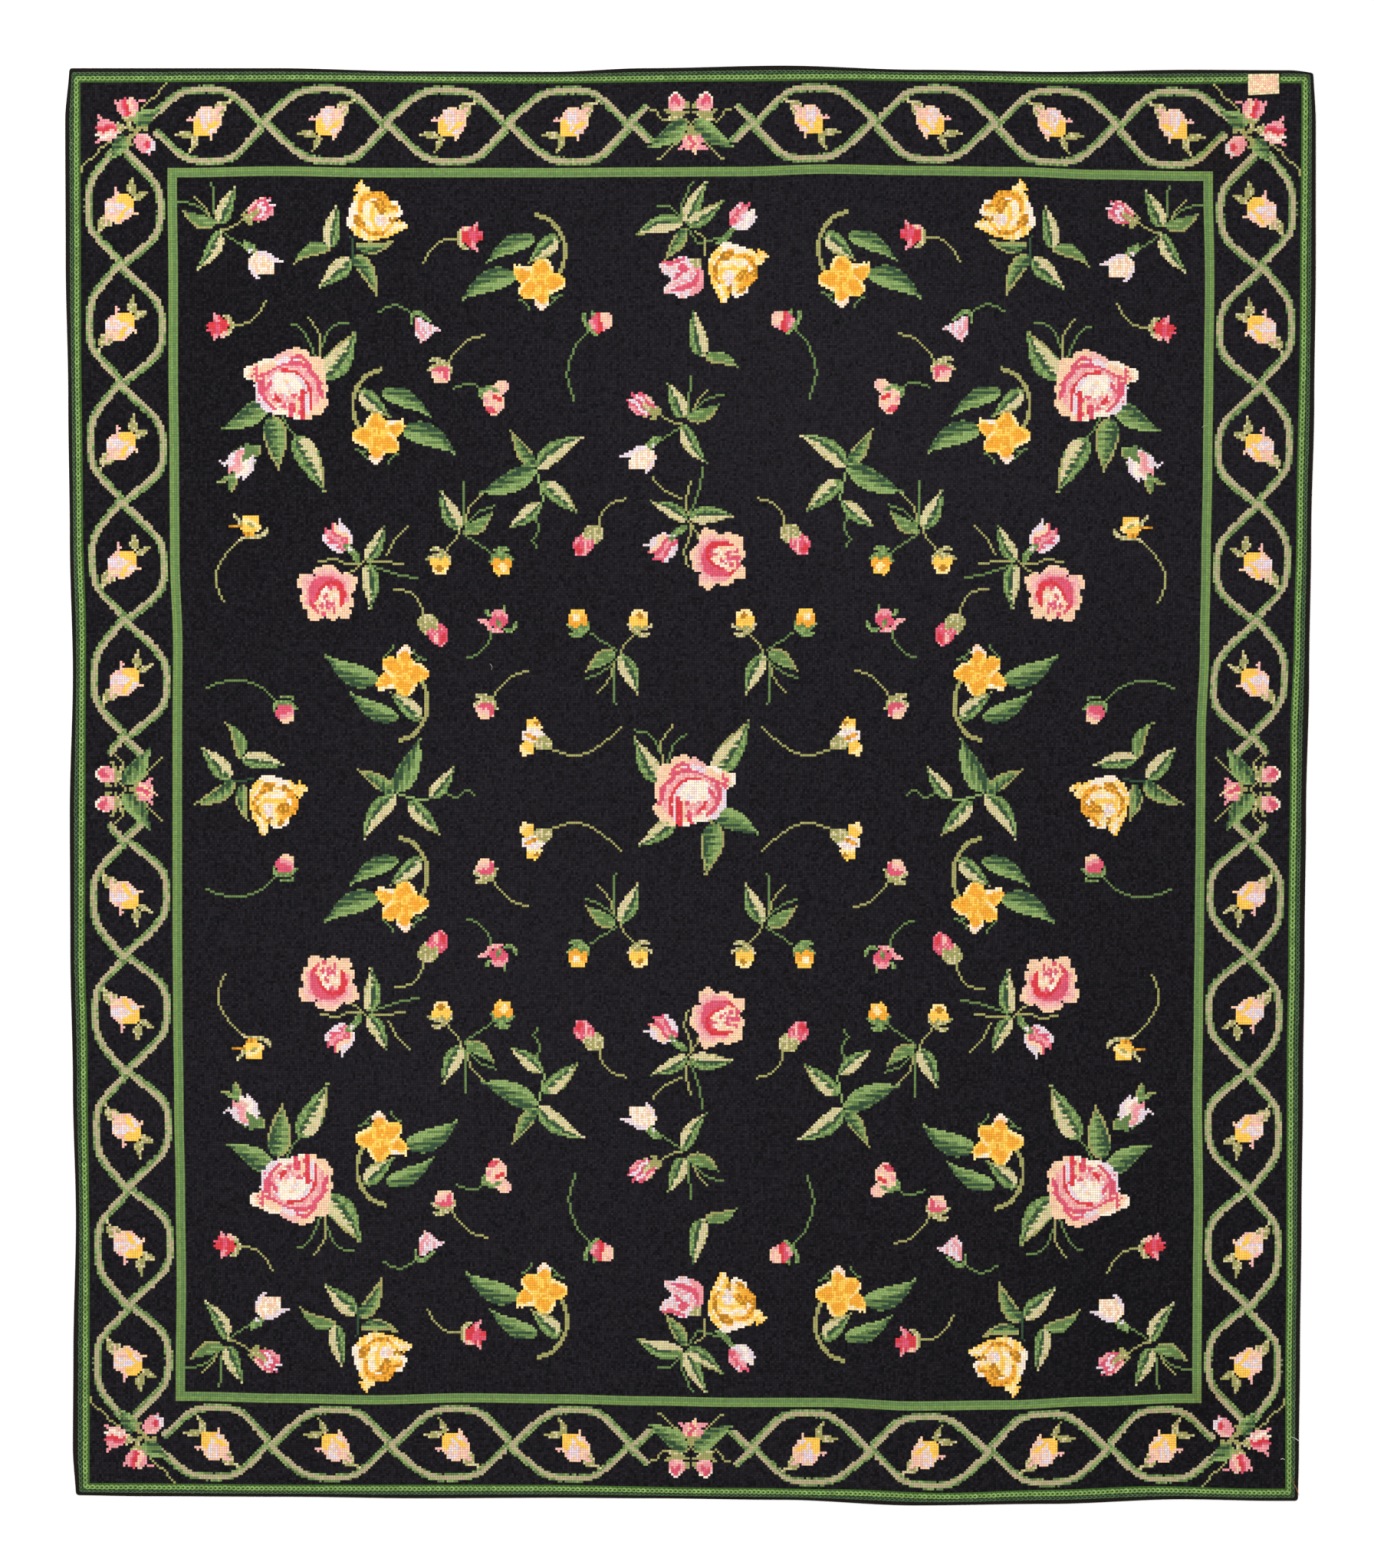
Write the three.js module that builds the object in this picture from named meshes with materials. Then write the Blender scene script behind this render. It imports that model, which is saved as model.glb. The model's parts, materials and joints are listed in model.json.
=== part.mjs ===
// A needlepoint rug: one stitched wool cloth, its edge turned under as a rolled hem, lying flat with the creases
// it kept from being folded, and a small stitched patch sewn over the stripes of one corner.
// Millimetres. +Z is up from the floor, +Y runs up the rug's length, and the origin lies under its middle.
import * as THREE from 'three';

// Driving dimensions
const RUG_WIDTH = 2446;
const RUG_LENGTH = 2816;
const CLOTH_THICKNESS = 5; // wool stitches, canvas and the turned edge behind them
const HEM_ROLL = 5; // how far in from the edge the hem curves down
const HEM_FOOT = 1.8; // height of the hem's straight foot
const CORNER_RADIUS = 9;
const ROLL_SHARES = [0, 0.07, 0.3, 0.65, 1]; // steps of the hem's curve, as shares of its width
const GRID_PITCH = 90; // widest spacing of the cloth's facets
const CREASE_SHOULDER = 16; // half the width of a pressed crease
const PATCH = { width: 62, length: 41, thickness: 1.2, gap: 0.3, middleX: 1120.5, middleY: 1371, turn: 0.012 };
const PATCH_CELLS = { across: 8, along: 6 };
const PATCH_CURL = 0.8; // how far the patch's free corner lifts

// Where the two long edges lie, going up the rug's length
const LONG_EDGES = [
  { along: -1408, left: -1202, right: 1188 },
  { along: -1306, left: -1208, right: 1190 },
  { along: -1126, left: -1207, right: 1192 },
  { along: -856, left: -1202, right: 1195 },
  { along: -586, left: -1208, right: 1198 },
  { along: -316, left: -1213, right: 1201 },
  { along: -46, left: -1214, right: 1204 },
  { along: 224, left: -1208, right: 1210 },
  { along: 494, left: -1214, right: 1214 },
  { along: 764, left: -1217, right: 1220 },
  { along: 1034, left: -1222, right: 1223 },
  { along: 1304, left: -1223, right: 1223 },
  { along: 1408, left: -1215, right: 1218 },
];

// Where the two short edges lie, going across the rug from left to right
const SHORT_EDGES = [
  { across: -1223, foot: -1388, head: 1403 },
  { across: -1081, foot: -1390, head: 1403 },
  { across: -811, foot: -1391, head: 1403 },
  { across: -541, foot: -1394, head: 1397 },
  { across: -271, foot: -1393, head: 1396 },
  { across: -91, foot: -1394, head: 1403 },
  { across: 179, foot: -1397, head: 1408 },
  { across: 449, foot: -1408, head: 1400 },
  { across: 719, foot: -1405, head: 1396 },
  { across: 989, foot: -1396, head: 1400 },
  { across: 1169, foot: -1399, head: 1399 },
  { across: 1223, foot: -1399, head: 1394 },
];

// Pressed creases that run straight up or across the whole rug: where each lies and how far it stands up
const UPRIGHT_CREASES = [
  { at: -394, rise: 0.9 },
  { at: 133, rise: 0.9 },
  { at: 407, rise: 2.0 },
];
const LEVEL_CREASES = [
  { at: -683, rise: 0.9 },
  { at: -28, rise: 1.0 },
  { at: 520, rise: 1.1 },
];

// Soft slanting creases that run part of the way: both ends, half width and rise
const SLANT_CREASES = [
  { x0: 715, y0: 1117, x1: 1022, y1: 1066, halfWidth: 48, rise: 1.5 },
  { x0: 1022, y0: 1066, x1: 1205, y1: 985, halfWidth: 48, rise: 1.3 },
  { x0: -983, y0: 197, x1: -655, y1: 208, halfWidth: 48, rise: 1.1 },
  { x0: 310, y0: -161, x1: 316, y1: -467, halfWidth: 48, rise: 1.3 },
  { x0: -328, y0: 862, x1: -83, y1: 940, halfWidth: 48, rise: 1.0 },
];

// A smooth value between the rows of a table, read from one of its columns
function between(table, key, column, at) {
  let row = 0;
  while (row < table.length - 2 && at > table[row + 1][key]) row += 1;
  const share = (at - table[row][key]) / (table[row + 1][key] - table[row][key]);
  const eased = THREE.MathUtils.smoothstep(share, 0, 1);
  return THREE.MathUtils.lerp(table[row][column], table[row + 1][column], eased);
}

// Bends a point in from a square corner to the rounded one; sideways and endways are its distances from the edges
function roundCorner(sideways, endways) {
  if (sideways >= CORNER_RADIUS || endways >= CORNER_RADIUS) {
    return { sideways, endways, fromEdge: Math.min(sideways, endways) };
  }
  const a = 1 - sideways / CORNER_RADIUS;
  const b = 1 - endways / CORNER_RADIUS;
  const roundA = a * Math.sqrt(1 - (b * b) / 2);
  const roundB = b * Math.sqrt(1 - (a * a) / 2);
  return {
    sideways: CORNER_RADIUS * (1 - roundA),
    endways: CORNER_RADIUS * (1 - roundB),
    fromEdge: CORNER_RADIUS * (1 - Math.hypot(roundA, roundB)),
  };
}

// Height of the hem's rolled edge above its foot, at a distance in from the edge
function hemHeight(fromEdge) {
  const inward = 1 - THREE.MathUtils.clamp(fromEdge / HEM_ROLL, 0, 1);
  return HEM_FOOT + (CLOTH_THICKNESS - HEM_FOOT) * Math.sqrt(1 - inward * inward);
}

// How far the creases lift the cloth at a place on the floor
function creaseRise(x, y) {
  const bell = (distance, halfWidth) => Math.exp(-((distance / halfWidth) ** 2));
  let rise = 0;
  for (const crease of UPRIGHT_CREASES) rise += crease.rise * bell(x - crease.at, CREASE_SHOULDER / 2);
  for (const crease of LEVEL_CREASES) rise += crease.rise * bell(y - crease.at, CREASE_SHOULDER / 2);
  const place = new THREE.Vector3(x, y, 0);
  for (const crease of SLANT_CREASES) {
    const run = new THREE.Line3(
      new THREE.Vector3(crease.x0, crease.y0, 0),
      new THREE.Vector3(crease.x1, crease.y1, 0),
    );
    const nearest = run.closestPointToPoint(place, true, new THREE.Vector3());
    rise += crease.rise * bell(nearest.distanceTo(place), crease.halfWidth);
  }
  return rise;
}

// Places of the facet lines over a span: close at both hems, three to a crease, and even between
function facetLines(span, creases) {
  const hem = ROLL_SHARES.map((share) => share * HEM_ROLL);
  const spots = creases.map((crease) => crease.at + span / 2);
  const count = Math.round(span / GRID_PITCH);
  const inner = [];
  for (let i = 1; i < count; i += 1) {
    const line = (i * span) / count;
    if (spots.every((spot) => Math.abs(line - spot) > GRID_PITCH / 2)) inner.push(line);
  }
  for (const spot of spots) inner.push(spot - CREASE_SHOULDER, spot, spot + CREASE_SHOULDER);
  inner.sort((a, b) => a - b);
  return [...hem, ...inner, ...hem.map((distance) => span - distance).reverse()];
}

// A closed sheet with a flat underside: grid[i][j] are the points of its upper face, column by column
function closedSheet(grid, undersideHeight) {
  const columns = grid.length;
  const rows = grid[0].length;
  const points = grid.flat();
  const triangles = [];
  const top = (i, j) => i * rows + j;
  for (let i = 0; i < columns - 1; i += 1) {
    for (let j = 0; j < rows - 1; j += 1) {
      triangles.push([top(i, j), top(i + 1, j), top(i + 1, j + 1)]);
      triangles.push([top(i, j), top(i + 1, j + 1), top(i, j + 1)]);
    }
  }
  const rim = [];
  for (let i = 0; i < columns - 1; i += 1) rim.push(top(i, 0));
  for (let j = 0; j < rows - 1; j += 1) rim.push(top(columns - 1, j));
  for (let i = columns - 1; i > 0; i -= 1) rim.push(top(i, rows - 1));
  for (let j = rows - 1; j > 0; j -= 1) rim.push(top(0, j));
  const foot = rim.map((index) => new THREE.Vector3(points[index].x, points[index].y, undersideHeight));
  const firstFoot = points.length;
  points.push(...foot);
  rim.forEach((index, n) => {
    const next = (n + 1) % rim.length;
    triangles.push([index, firstFoot + n, firstFoot + next]);
    triangles.push([index, firstFoot + next, rim[next]]);
  });
  const outline = foot.map((point) => new THREE.Vector2(point.x, point.y));
  for (const [a, b, c] of THREE.ShapeUtils.triangulateShape(outline, [])) {
    const facesUp = THREE.ShapeUtils.area([outline[a], outline[b], outline[c]]) > 0;
    triangles.push(facesUp ? [firstFoot + a, firstFoot + c, firstFoot + b] : [firstFoot + a, firstFoot + b, firstFoot + c]);
  }
  const geometry = new THREE.BufferGeometry().setFromPoints(points);
  geometry.setIndex(triangles.flat());
  geometry.computeVertexNormals();
  return geometry;
}

// A point of the rug's upper face, from its distances up from the left edge and the foot of the pattern
function rugPoint(fromLeft, fromFoot) {
  const onRight = fromLeft > RUG_WIDTH / 2;
  const atHead = fromFoot > RUG_LENGTH / 2;
  const corner = roundCorner(
    onRight ? RUG_WIDTH - fromLeft : fromLeft,
    atHead ? RUG_LENGTH - fromFoot : fromFoot,
  );
  const shareAcross = (onRight ? RUG_WIDTH - corner.sideways : corner.sideways) / RUG_WIDTH;
  const shareAlong = (atHead ? RUG_LENGTH - corner.endways : corner.endways) / RUG_LENGTH;
  const levelX = (shareAcross - 0.5) * RUG_WIDTH;
  const levelY = (shareAlong - 0.5) * RUG_LENGTH;
  const left = between(LONG_EDGES, 'along', 'left', levelY);
  const right = between(LONG_EDGES, 'along', 'right', levelY);
  const foot = between(SHORT_EDGES, 'across', 'foot', levelX);
  const head = between(SHORT_EDGES, 'across', 'head', levelX);
  const inside = THREE.MathUtils.smoothstep(corner.fromEdge, HEM_ROLL, GRID_PITCH);
  return new THREE.Vector3(
    THREE.MathUtils.lerp(left, right, shareAcross),
    THREE.MathUtils.lerp(foot, head, shareAlong),
    hemHeight(corner.fromEdge) + inside * creaseRise(levelX, levelY),
  );
}

function stitchedRug() {
  const across = facetLines(RUG_WIDTH, UPRIGHT_CREASES);
  const along = facetLines(RUG_LENGTH, LEVEL_CREASES);
  const grid = across.map((fromLeft) => along.map((fromFoot) => rugPoint(fromLeft, fromFoot)));
  const wool = new THREE.MeshStandardMaterial({ color: '#211f24', roughness: 0.92, metalness: 0 });
  const rug = new THREE.Mesh(closedSheet(grid, 0), wool);
  rug.name = 'stitched_rug';
  return rug;
}

function sewnPatch() {
  const grid = [];
  for (let i = 0; i <= PATCH_CELLS.across; i += 1) {
    grid.push([]);
    for (let j = 0; j <= PATCH_CELLS.along; j += 1) {
      const u = i / PATCH_CELLS.across;
      const v = j / PATCH_CELLS.along;
      const curl = PATCH_CURL * (u * (1 - v)) ** 2;
      grid[i].push(new THREE.Vector3((u - 0.5) * PATCH.width, (v - 0.5) * PATCH.length, PATCH.thickness + curl));
    }
  }
  const wool = new THREE.MeshStandardMaterial({ color: '#e6cda4', roughness: 0.9, metalness: 0 });
  const patch = new THREE.Mesh(closedSheet(grid, 0), wool);
  patch.name = 'sewn_patch';
  patch.position.set(PATCH.middleX, PATCH.middleY, CLOTH_THICKNESS + PATCH.gap);
  patch.rotation.z = PATCH.turn;
  return patch;
}

const needlepointRug = new THREE.Group();
needlepointRug.add(stitchedRug(), sewnPatch());

// The wavy outline is centred over the origin
const middle = new THREE.Box3().setFromObject(needlepointRug).getCenter(new THREE.Vector3());
needlepointRug.position.set(-middle.x, -middle.y, 0);

export default needlepointRug;
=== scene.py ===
"""A needlepoint rug laid flat: its cloth worked from a chart of stitches, its plaited hem and its patch."""
import json
import logging
import math
from dataclasses import dataclass, field
from enum import Enum
from typing import Any, Sequence

import bmesh
import bpy
import numpy as np
from mathutils import Matrix, Vector

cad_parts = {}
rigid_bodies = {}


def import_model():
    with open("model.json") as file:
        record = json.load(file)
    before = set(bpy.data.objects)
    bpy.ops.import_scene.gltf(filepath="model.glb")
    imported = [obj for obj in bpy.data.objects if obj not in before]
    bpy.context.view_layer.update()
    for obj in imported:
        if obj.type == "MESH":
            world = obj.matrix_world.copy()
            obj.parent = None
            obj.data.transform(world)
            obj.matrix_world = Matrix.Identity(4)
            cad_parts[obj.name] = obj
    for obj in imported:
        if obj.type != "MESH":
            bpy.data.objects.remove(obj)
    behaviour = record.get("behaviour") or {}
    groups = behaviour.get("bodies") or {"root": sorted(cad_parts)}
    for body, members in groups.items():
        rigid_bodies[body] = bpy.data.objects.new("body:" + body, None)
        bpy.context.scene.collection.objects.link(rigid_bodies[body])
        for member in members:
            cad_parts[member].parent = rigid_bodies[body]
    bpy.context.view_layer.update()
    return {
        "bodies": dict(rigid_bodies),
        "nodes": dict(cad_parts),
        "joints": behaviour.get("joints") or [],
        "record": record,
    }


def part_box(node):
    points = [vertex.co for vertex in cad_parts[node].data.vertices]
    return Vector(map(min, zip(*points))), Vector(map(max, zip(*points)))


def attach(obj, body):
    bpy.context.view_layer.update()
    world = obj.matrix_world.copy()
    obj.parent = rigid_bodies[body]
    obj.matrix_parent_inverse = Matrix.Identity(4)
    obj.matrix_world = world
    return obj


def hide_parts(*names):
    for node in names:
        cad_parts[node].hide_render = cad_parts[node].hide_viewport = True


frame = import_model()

log = logging.getLogger("needlepoint_rug")

MM = 0.001
SEED = 5093
BODY = "root"
COLUMNS, ROWS = 532, 616
PANELS_EACH_WAY = 4
BELOW_FACE = -0.5

# How a flower's streaks step from column to column, and the grain above which a stitch breaks them
STREAK_STEP, STREAK_BREAK = 0.618, 0.45
# How a leaf swells at its foot, tapers to its tip and is scaled to its half width, and its least width
LEAF_SWELL, LEAF_TAPER, LEAF_SCALE, LEAF_LEAST = 0.6, 1.15, 3.06, 0.14

Point = tuple[float, float]
Array = np.ndarray


class Wool(Enum):
    """The wools on the chart, as the colour of each one's lit strands."""

    GROUND = "#19171b"
    EDGE = "#1c1815"
    # The beds under the two plaits, seen through the holes between the loops, are darker than the plaits'
    # wools: painted shade in the holes
    HEM_BED = "#1d2519"
    PLAIT_BED = "#40602a"
    STRIPE_OUTER = "#6c874b"
    STRIPE_YELLOW = "#6f8a4a"
    STRIPE_BLUE = "#5f7d4c"
    STRIPE_INNER = "#69834a"
    LEAF_LIGHT = "#849d5e"
    LEAF_MID = "#617b47"
    LEAF_DEEP = "#354c36"
    OLIVE = "#99965c"
    PALE = "#cabd90"
    CHAIN = "#aca07c"
    CREAM = "#f1dfca"
    PEACH = "#edc29f"
    BLUSH = "#e9b0a6"
    PINK = "#e29196"
    ROSE = "#d2546a"
    RED = "#cf3a42"
    LAVENDER = "#dccad0"
    BUTTER = "#fbd896"
    YELLOW = "#f8c052"
    GOLD = "#eca034"
    BROWN = "#b07824"

    @property
    def place(self) -> int:
        """This wool's number on the chart."""
        return WOOLS.index(self)


WOOLS: list[Wool] = list(Wool)


def linear(colour: str) -> tuple[float, ...]:
    """Turns a written colour into linear light.

    Args:
        colour: a hash sign and six hexadecimal digits.

    Returns:
        Red, green and blue, each from 0 to 1.
    """
    shares = [int(colour[i:i + 2], 16) / 255 for i in (1, 3, 5)]
    return tuple(s / 12.92 if s <= 0.04045 else ((s + 0.055) / 1.055) ** 2.4 for s in shares)


def ease(share: Any) -> Any:
    """Eases a share from 0 to 1 in at its start and out at its end."""
    return share * share * (3 - 2 * share)


def curve(points: Sequence[Point], closed: bool = False, steps: int = 8) -> Array:
    """Runs a smooth curve through a few points.

    Args:
        points: the points that it passes.
        closed: whether it comes back to its first point.
        steps: how many short pieces join one point to the next.

    Returns:
        The points along the curve, one row each.
    """
    ends = np.asarray(points, float)
    if len(ends) < 3 and not closed:
        return np.linspace(ends[0], ends[-1], steps + 1)
    padded = np.vstack([ends[-1:], ends, ends[:2]]) if closed else np.vstack([ends[:1], ends, ends[-1:]])
    shares = np.arange(steps)[:, None] / steps
    pieces = []
    for i in range(len(padded) - 3):
        a, b, c, d = padded[i:i + 4]
        pieces.append(0.5 * (2 * b + (c - a) * shares + (2 * a - 5 * b + 4 * c - d) * shares ** 2
                             + (3 * b - a - 3 * c + d) * shares ** 3))
    return np.vstack(pieces + ([] if closed else [ends[-1:]]))


@dataclass(frozen=True)
class Spot:
    """Where a motif's own origin lies on the chart, and how the motif is turned over there."""

    column: float
    row: float
    flip_across: bool = False
    flip_down: bool = False
    turned: bool = False


@dataclass
class Chart:
    """The counted pattern: one wool for each stitch, rows from the top and columns from the left."""

    columns: int = COLUMNS
    rows: int = ROWS
    worked: Array = field(init=False)

    def __post_init__(self) -> None:
        """Starts with plain ground."""
        self.worked = np.full((self.rows, self.columns), Wool.GROUND.place, np.uint8)

    def mirror_across(self) -> None:
        """Works the left half's flowers again on the right half, mirrored."""
        self._over_ground(self.worked[:, ::-1].copy())

    def mirror_down(self) -> None:
        """Works the top half's flowers again on the bottom half, mirrored."""
        self._over_ground(self.worked[::-1].copy())

    def _over_ground(self, other: Array) -> None:
        """Fills ground stitches from another chart.

        Args:
            other: wool numbers of the same shape.
        """
        bare = self.worked == Wool.GROUND.place
        self.worked[bare] = other[bare]


class Needle:
    """Works stitches on the chart around one spot, with x to the right of the spot and y down from it."""

    def __init__(self, chart: Chart, spot: Spot, reach: int = 54) -> None:
        """Finds the stitches in reach.

        Args:
            chart: the chart to work on.
            spot: the motif's origin and its turning.
            reach: how many stitches away the motif can go.
        """
        self.chart = chart
        self.spot = spot
        left = max(0, math.floor(spot.column) - reach)
        top = max(0, math.floor(spot.row) - reach)
        right = min(chart.columns, math.floor(spot.column) + reach)
        bottom = min(chart.rows, math.floor(spot.row) + reach)
        grid_x, grid_y = np.meshgrid(np.arange(left, right) + 0.5 - spot.column,
                                     np.arange(top, bottom) + 0.5 - spot.row)
        grid_x = -grid_x if spot.flip_across else grid_x
        grid_y = -grid_y if spot.flip_down else grid_y
        self.x, self.y = (grid_y, grid_x) if spot.turned else (grid_x, grid_y)
        self.window = chart.worked[top:bottom, left:right]
        self.grain = np.random.default_rng(SEED + int(spot.column * 7 + spot.row)).random(self.x.shape)
        self.streaks = np.mod(np.floor(self.x) * STREAK_STEP
                              + np.where(self.grain > STREAK_BREAK, self.grain, 0.0), 1.0)

    def fill(self, where: Array, wool: Wool) -> None:
        """Works the marked stitches in one wool."""
        self.window[where] = wool.place

    def shade(self, where: Array, level: Array, wools: Sequence[Wool]) -> None:
        """Works the marked stitches in a row of wools.

        Args:
            where: the stitches to work.
            level: 0 for the first wool up to 1 for the last.
            wools: the wools in order.
        """
        numbers = np.array([wool.place for wool in wools], np.uint8)
        pick = np.clip((level * len(wools)).astype(int), 0, len(wools) - 1)
        self.window[where] = numbers[pick][where]

    def inside(self, points: Sequence[Point]) -> Array:
        """Marks the stitches inside a smooth closed outline through the points."""
        ring = curve(points, closed=True)
        marked = np.zeros(self.x.shape, bool)
        for (x0, y0), (x1, y1) in zip(ring, np.roll(ring, -1, axis=0)):
            if y0 != y1:
                crosses = (y0 > self.y) != (y1 > self.y)
                marked ^= crosses & (self.x < x0 + (self.y - y0) * (x1 - x0) / (y1 - y0))
        return marked

    def distance(self, points: Array) -> Array:
        """How far each stitch lies from the nearest of the points."""
        near = np.full(self.x.shape, np.inf)
        for x, y in points:
            near = np.minimum(near, (self.x - x) ** 2 + (self.y - y) ** 2)
        return np.sqrt(near)

    def seen_from(self, centre: Point, heading: float) -> tuple[Array, Array]:
        """Measures every stitch from a place for one who faces a heading.

        Args:
            centre: the place.
            heading: degrees up from the right.

        Returns:
            How far ahead and how far to the right each stitch lies.
        """
        ahead_x, ahead_y = math.cos(math.radians(heading)), -math.sin(math.radians(heading))
        x, y = self.x - centre[0], self.y - centre[1]
        return x * ahead_x + y * ahead_y, y * ahead_x - x * ahead_y

    def line(self, points: Sequence[Point], wools: Sequence[Wool]) -> None:
        """Works a line one stitch wide, corner to corner wherever it slants.

        Args:
            points: the points that the line passes.
            wools: its wools, taken in turn along it.
        """
        kept: list[tuple[int, int]] = []
        for x, y in curve(points, steps=24):
            cell = self._cell(x, y)
            if kept and cell == kept[-1]:
                continue
            if len(kept) > 1 and max(abs(cell[0] - kept[-2][0]), abs(cell[1] - kept[-2][1])) < 2:
                kept.pop()
            kept.append(cell)
        for number, (column, row) in enumerate(kept):
            if 0 <= column < self.chart.columns and 0 <= row < self.chart.rows:
                self.chart.worked[row, column] = wools[number * len(wools) // len(kept)].place

    def _cell(self, x: float, y: float) -> tuple[int, int]:
        """The chart column and row of a place in the motif's own directions."""
        across, down = (y, x) if self.spot.turned else (x, y)
        across = -across if self.spot.flip_across else across
        down = -down if self.spot.flip_down else down
        return math.floor(self.spot.column + across), math.floor(self.spot.row + down)


class LeafStyle(Enum):
    """The ways in which the leaves are shaded."""

    HALVED = "one half pale, the other green with a deep vein"
    STREAKED = "one half light, the other deep, in ragged rows"
    EDGED = "light and deep halves with a pale olive rim"
    HEARTED = "green with a pale heart"
    PLAIN = "mid green with an olive rim on one side"
    OLIVE = "small and olive all over"


@dataclass(frozen=True)
class Stem:
    """A thin stem or tendril."""

    points: tuple[Point, ...]
    wools: tuple[Wool, ...] = (Wool.LEAF_MID,)
    thick: float = 0.0

    def work(self, needle: Needle) -> None:
        """Works the stem on the chart."""
        if self.thick:
            needle.fill(needle.distance(curve(self.points)) <= self.thick / 2, self.wools[0])
        else:
            needle.line(self.points, self.wools)


@dataclass(frozen=True)
class Leaf:
    """A leaf from its base to its tip; bow is how far it bows to its left and side says where it is pale."""

    base: Point
    tip: Point
    half: float
    style: LeafStyle
    bow: float = 1.0
    side: int = 1

    def work(self, needle: Needle) -> None:
        """Works the leaf on the chart."""
        run = np.subtract(self.tip, self.base)
        length = float(np.hypot(*run))
        run = run / length
        x, y = needle.x - self.base[0], needle.y - self.base[1]
        along = (x * run[0] + y * run[1]) / length
        inside = np.clip(along, 0.0, 1.0)
        offset = x * run[1] - y * run[0] - 4 * self.bow * inside * (1 - inside)
        swell = inside ** LEAF_SWELL * (1 - inside) ** LEAF_TAPER * LEAF_SCALE
        widest = self.half * np.maximum(swell, LEAF_LEAST)
        across = self.side * offset / widest
        body = (along >= 0) & (along <= 1) & (np.abs(across) <= 1)
        row = np.floor(needle.y)
        ragged = 0.6 * np.sin(row * 2.4) + 0.4 * np.sin(needle.x * 0.5 + row * 1.9)
        rim = np.abs(offset) > widest - 1.1
        pale_side, deep_side = body & (across > 0), body & (across <= 0)
        deep, mid, light = Wool.LEAF_DEEP, Wool.LEAF_MID, Wool.LEAF_LIGHT
        if self.style in (LeafStyle.HALVED, LeafStyle.HEARTED):
            needle.shade(body, np.abs(across) * 0.7 + 0.2 * ragged + 0.2, (mid, mid, light, mid))
            needle.fill(body & (np.abs(across + 0.12 + 0.16 * ragged) < 0.2) & (inside > 0.08), deep)
            if self.style is LeafStyle.HALVED:
                needle.fill(body & (across > 0.1 + 0.2 * ragged), Wool.PALE)
                needle.fill(pale_side & rim & (ragged > 0.35), Wool.OLIVE)
            else:
                heart = (across > 0.08 + 0.25 * ragged) & (across < 1.15 - 0.7 * inside)
                needle.fill(body & heart & (inside > 0.08) & (inside < 0.82), Wool.PALE)
                needle.fill(pale_side & rim & (inside > 0.45), Wool.OLIVE)
        elif self.style is LeafStyle.PLAIN:
            needle.shade(body, 0.5 + 0.5 * ragged, (mid, mid, light))
            needle.fill(pale_side & rim, Wool.OLIVE)
        elif self.style is LeafStyle.OLIVE:
            needle.shade(body, needle.grain * 0.9, (Wool.OLIVE, Wool.OLIVE, Wool.PALE))
        else:
            needle.shade(body, 0.3 - 0.34 * across - 0.2 * ragged, (light, mid, deep, deep, deep))
            needle.fill(body & (across > 0.3) & (ragged > 0.3), light)
            needle.fill(deep_side & rim & (ragged > 0.0), mid)
            if self.style is LeafStyle.EDGED:
                needle.fill(body & rim & ((inside > 0.3) | (across > 0)), Wool.OLIVE)


@dataclass(frozen=True)
class Patch:
    """A part of a flower filled inside a smooth outline, in one wool or a mix of several."""

    points: tuple[Point, ...]
    wools: tuple[Wool, ...]

    def work(self, needle: Needle) -> None:
        """Works the patch on the chart."""
        needle.shade(needle.inside(self.points), needle.streaks, self.wools)


@dataclass(frozen=True)
class Fold:
    """A curved fold of a petal, thickest at its middle, in one wool or a mix of several."""

    points: tuple[Point, ...]
    wools: tuple[Wool, ...]
    thick: float

    def work(self, needle: Needle) -> None:
        """Works the fold on the chart."""
        path = curve(self.points, steps=10)
        near = np.full(needle.x.shape, np.inf)
        for (x, y), share in zip(path, np.linspace(0, 1, len(path))):
            half = self.thick / 2 * (0.5 + 0.5 * math.sin(math.pi * share))
            near = np.minimum(near, np.hypot(needle.x - x, needle.y - y) - half)
        needle.shade(near <= 0.12, needle.streaks, self.wools)


@dataclass(frozen=True)
class Petal:
    """A ruffled oval petal: its half length and half width, its heading and its wools from foot to rim."""

    centre: Point
    half: Point
    heading: float
    wools: tuple[Wool, ...]
    ruffle: float = 0.07

    def work(self, needle: Needle) -> None:
        """Works the petal on the chart."""
        ahead, right = needle.seen_from(self.centre, self.heading)
        along, across = ahead / self.half[0], right / self.half[1]
        angle = np.arctan2(across, along)
        body = np.hypot(along, across) <= 1 + self.ruffle * np.sin(angle * 5 + self.centre[0])
        level = 0.5 + 0.5 * along + 0.14 * across ** 2 + 0.16 * (needle.grain - 0.5)
        needle.shade(body, np.clip(level, 0, 0.999), self.wools)


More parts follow.
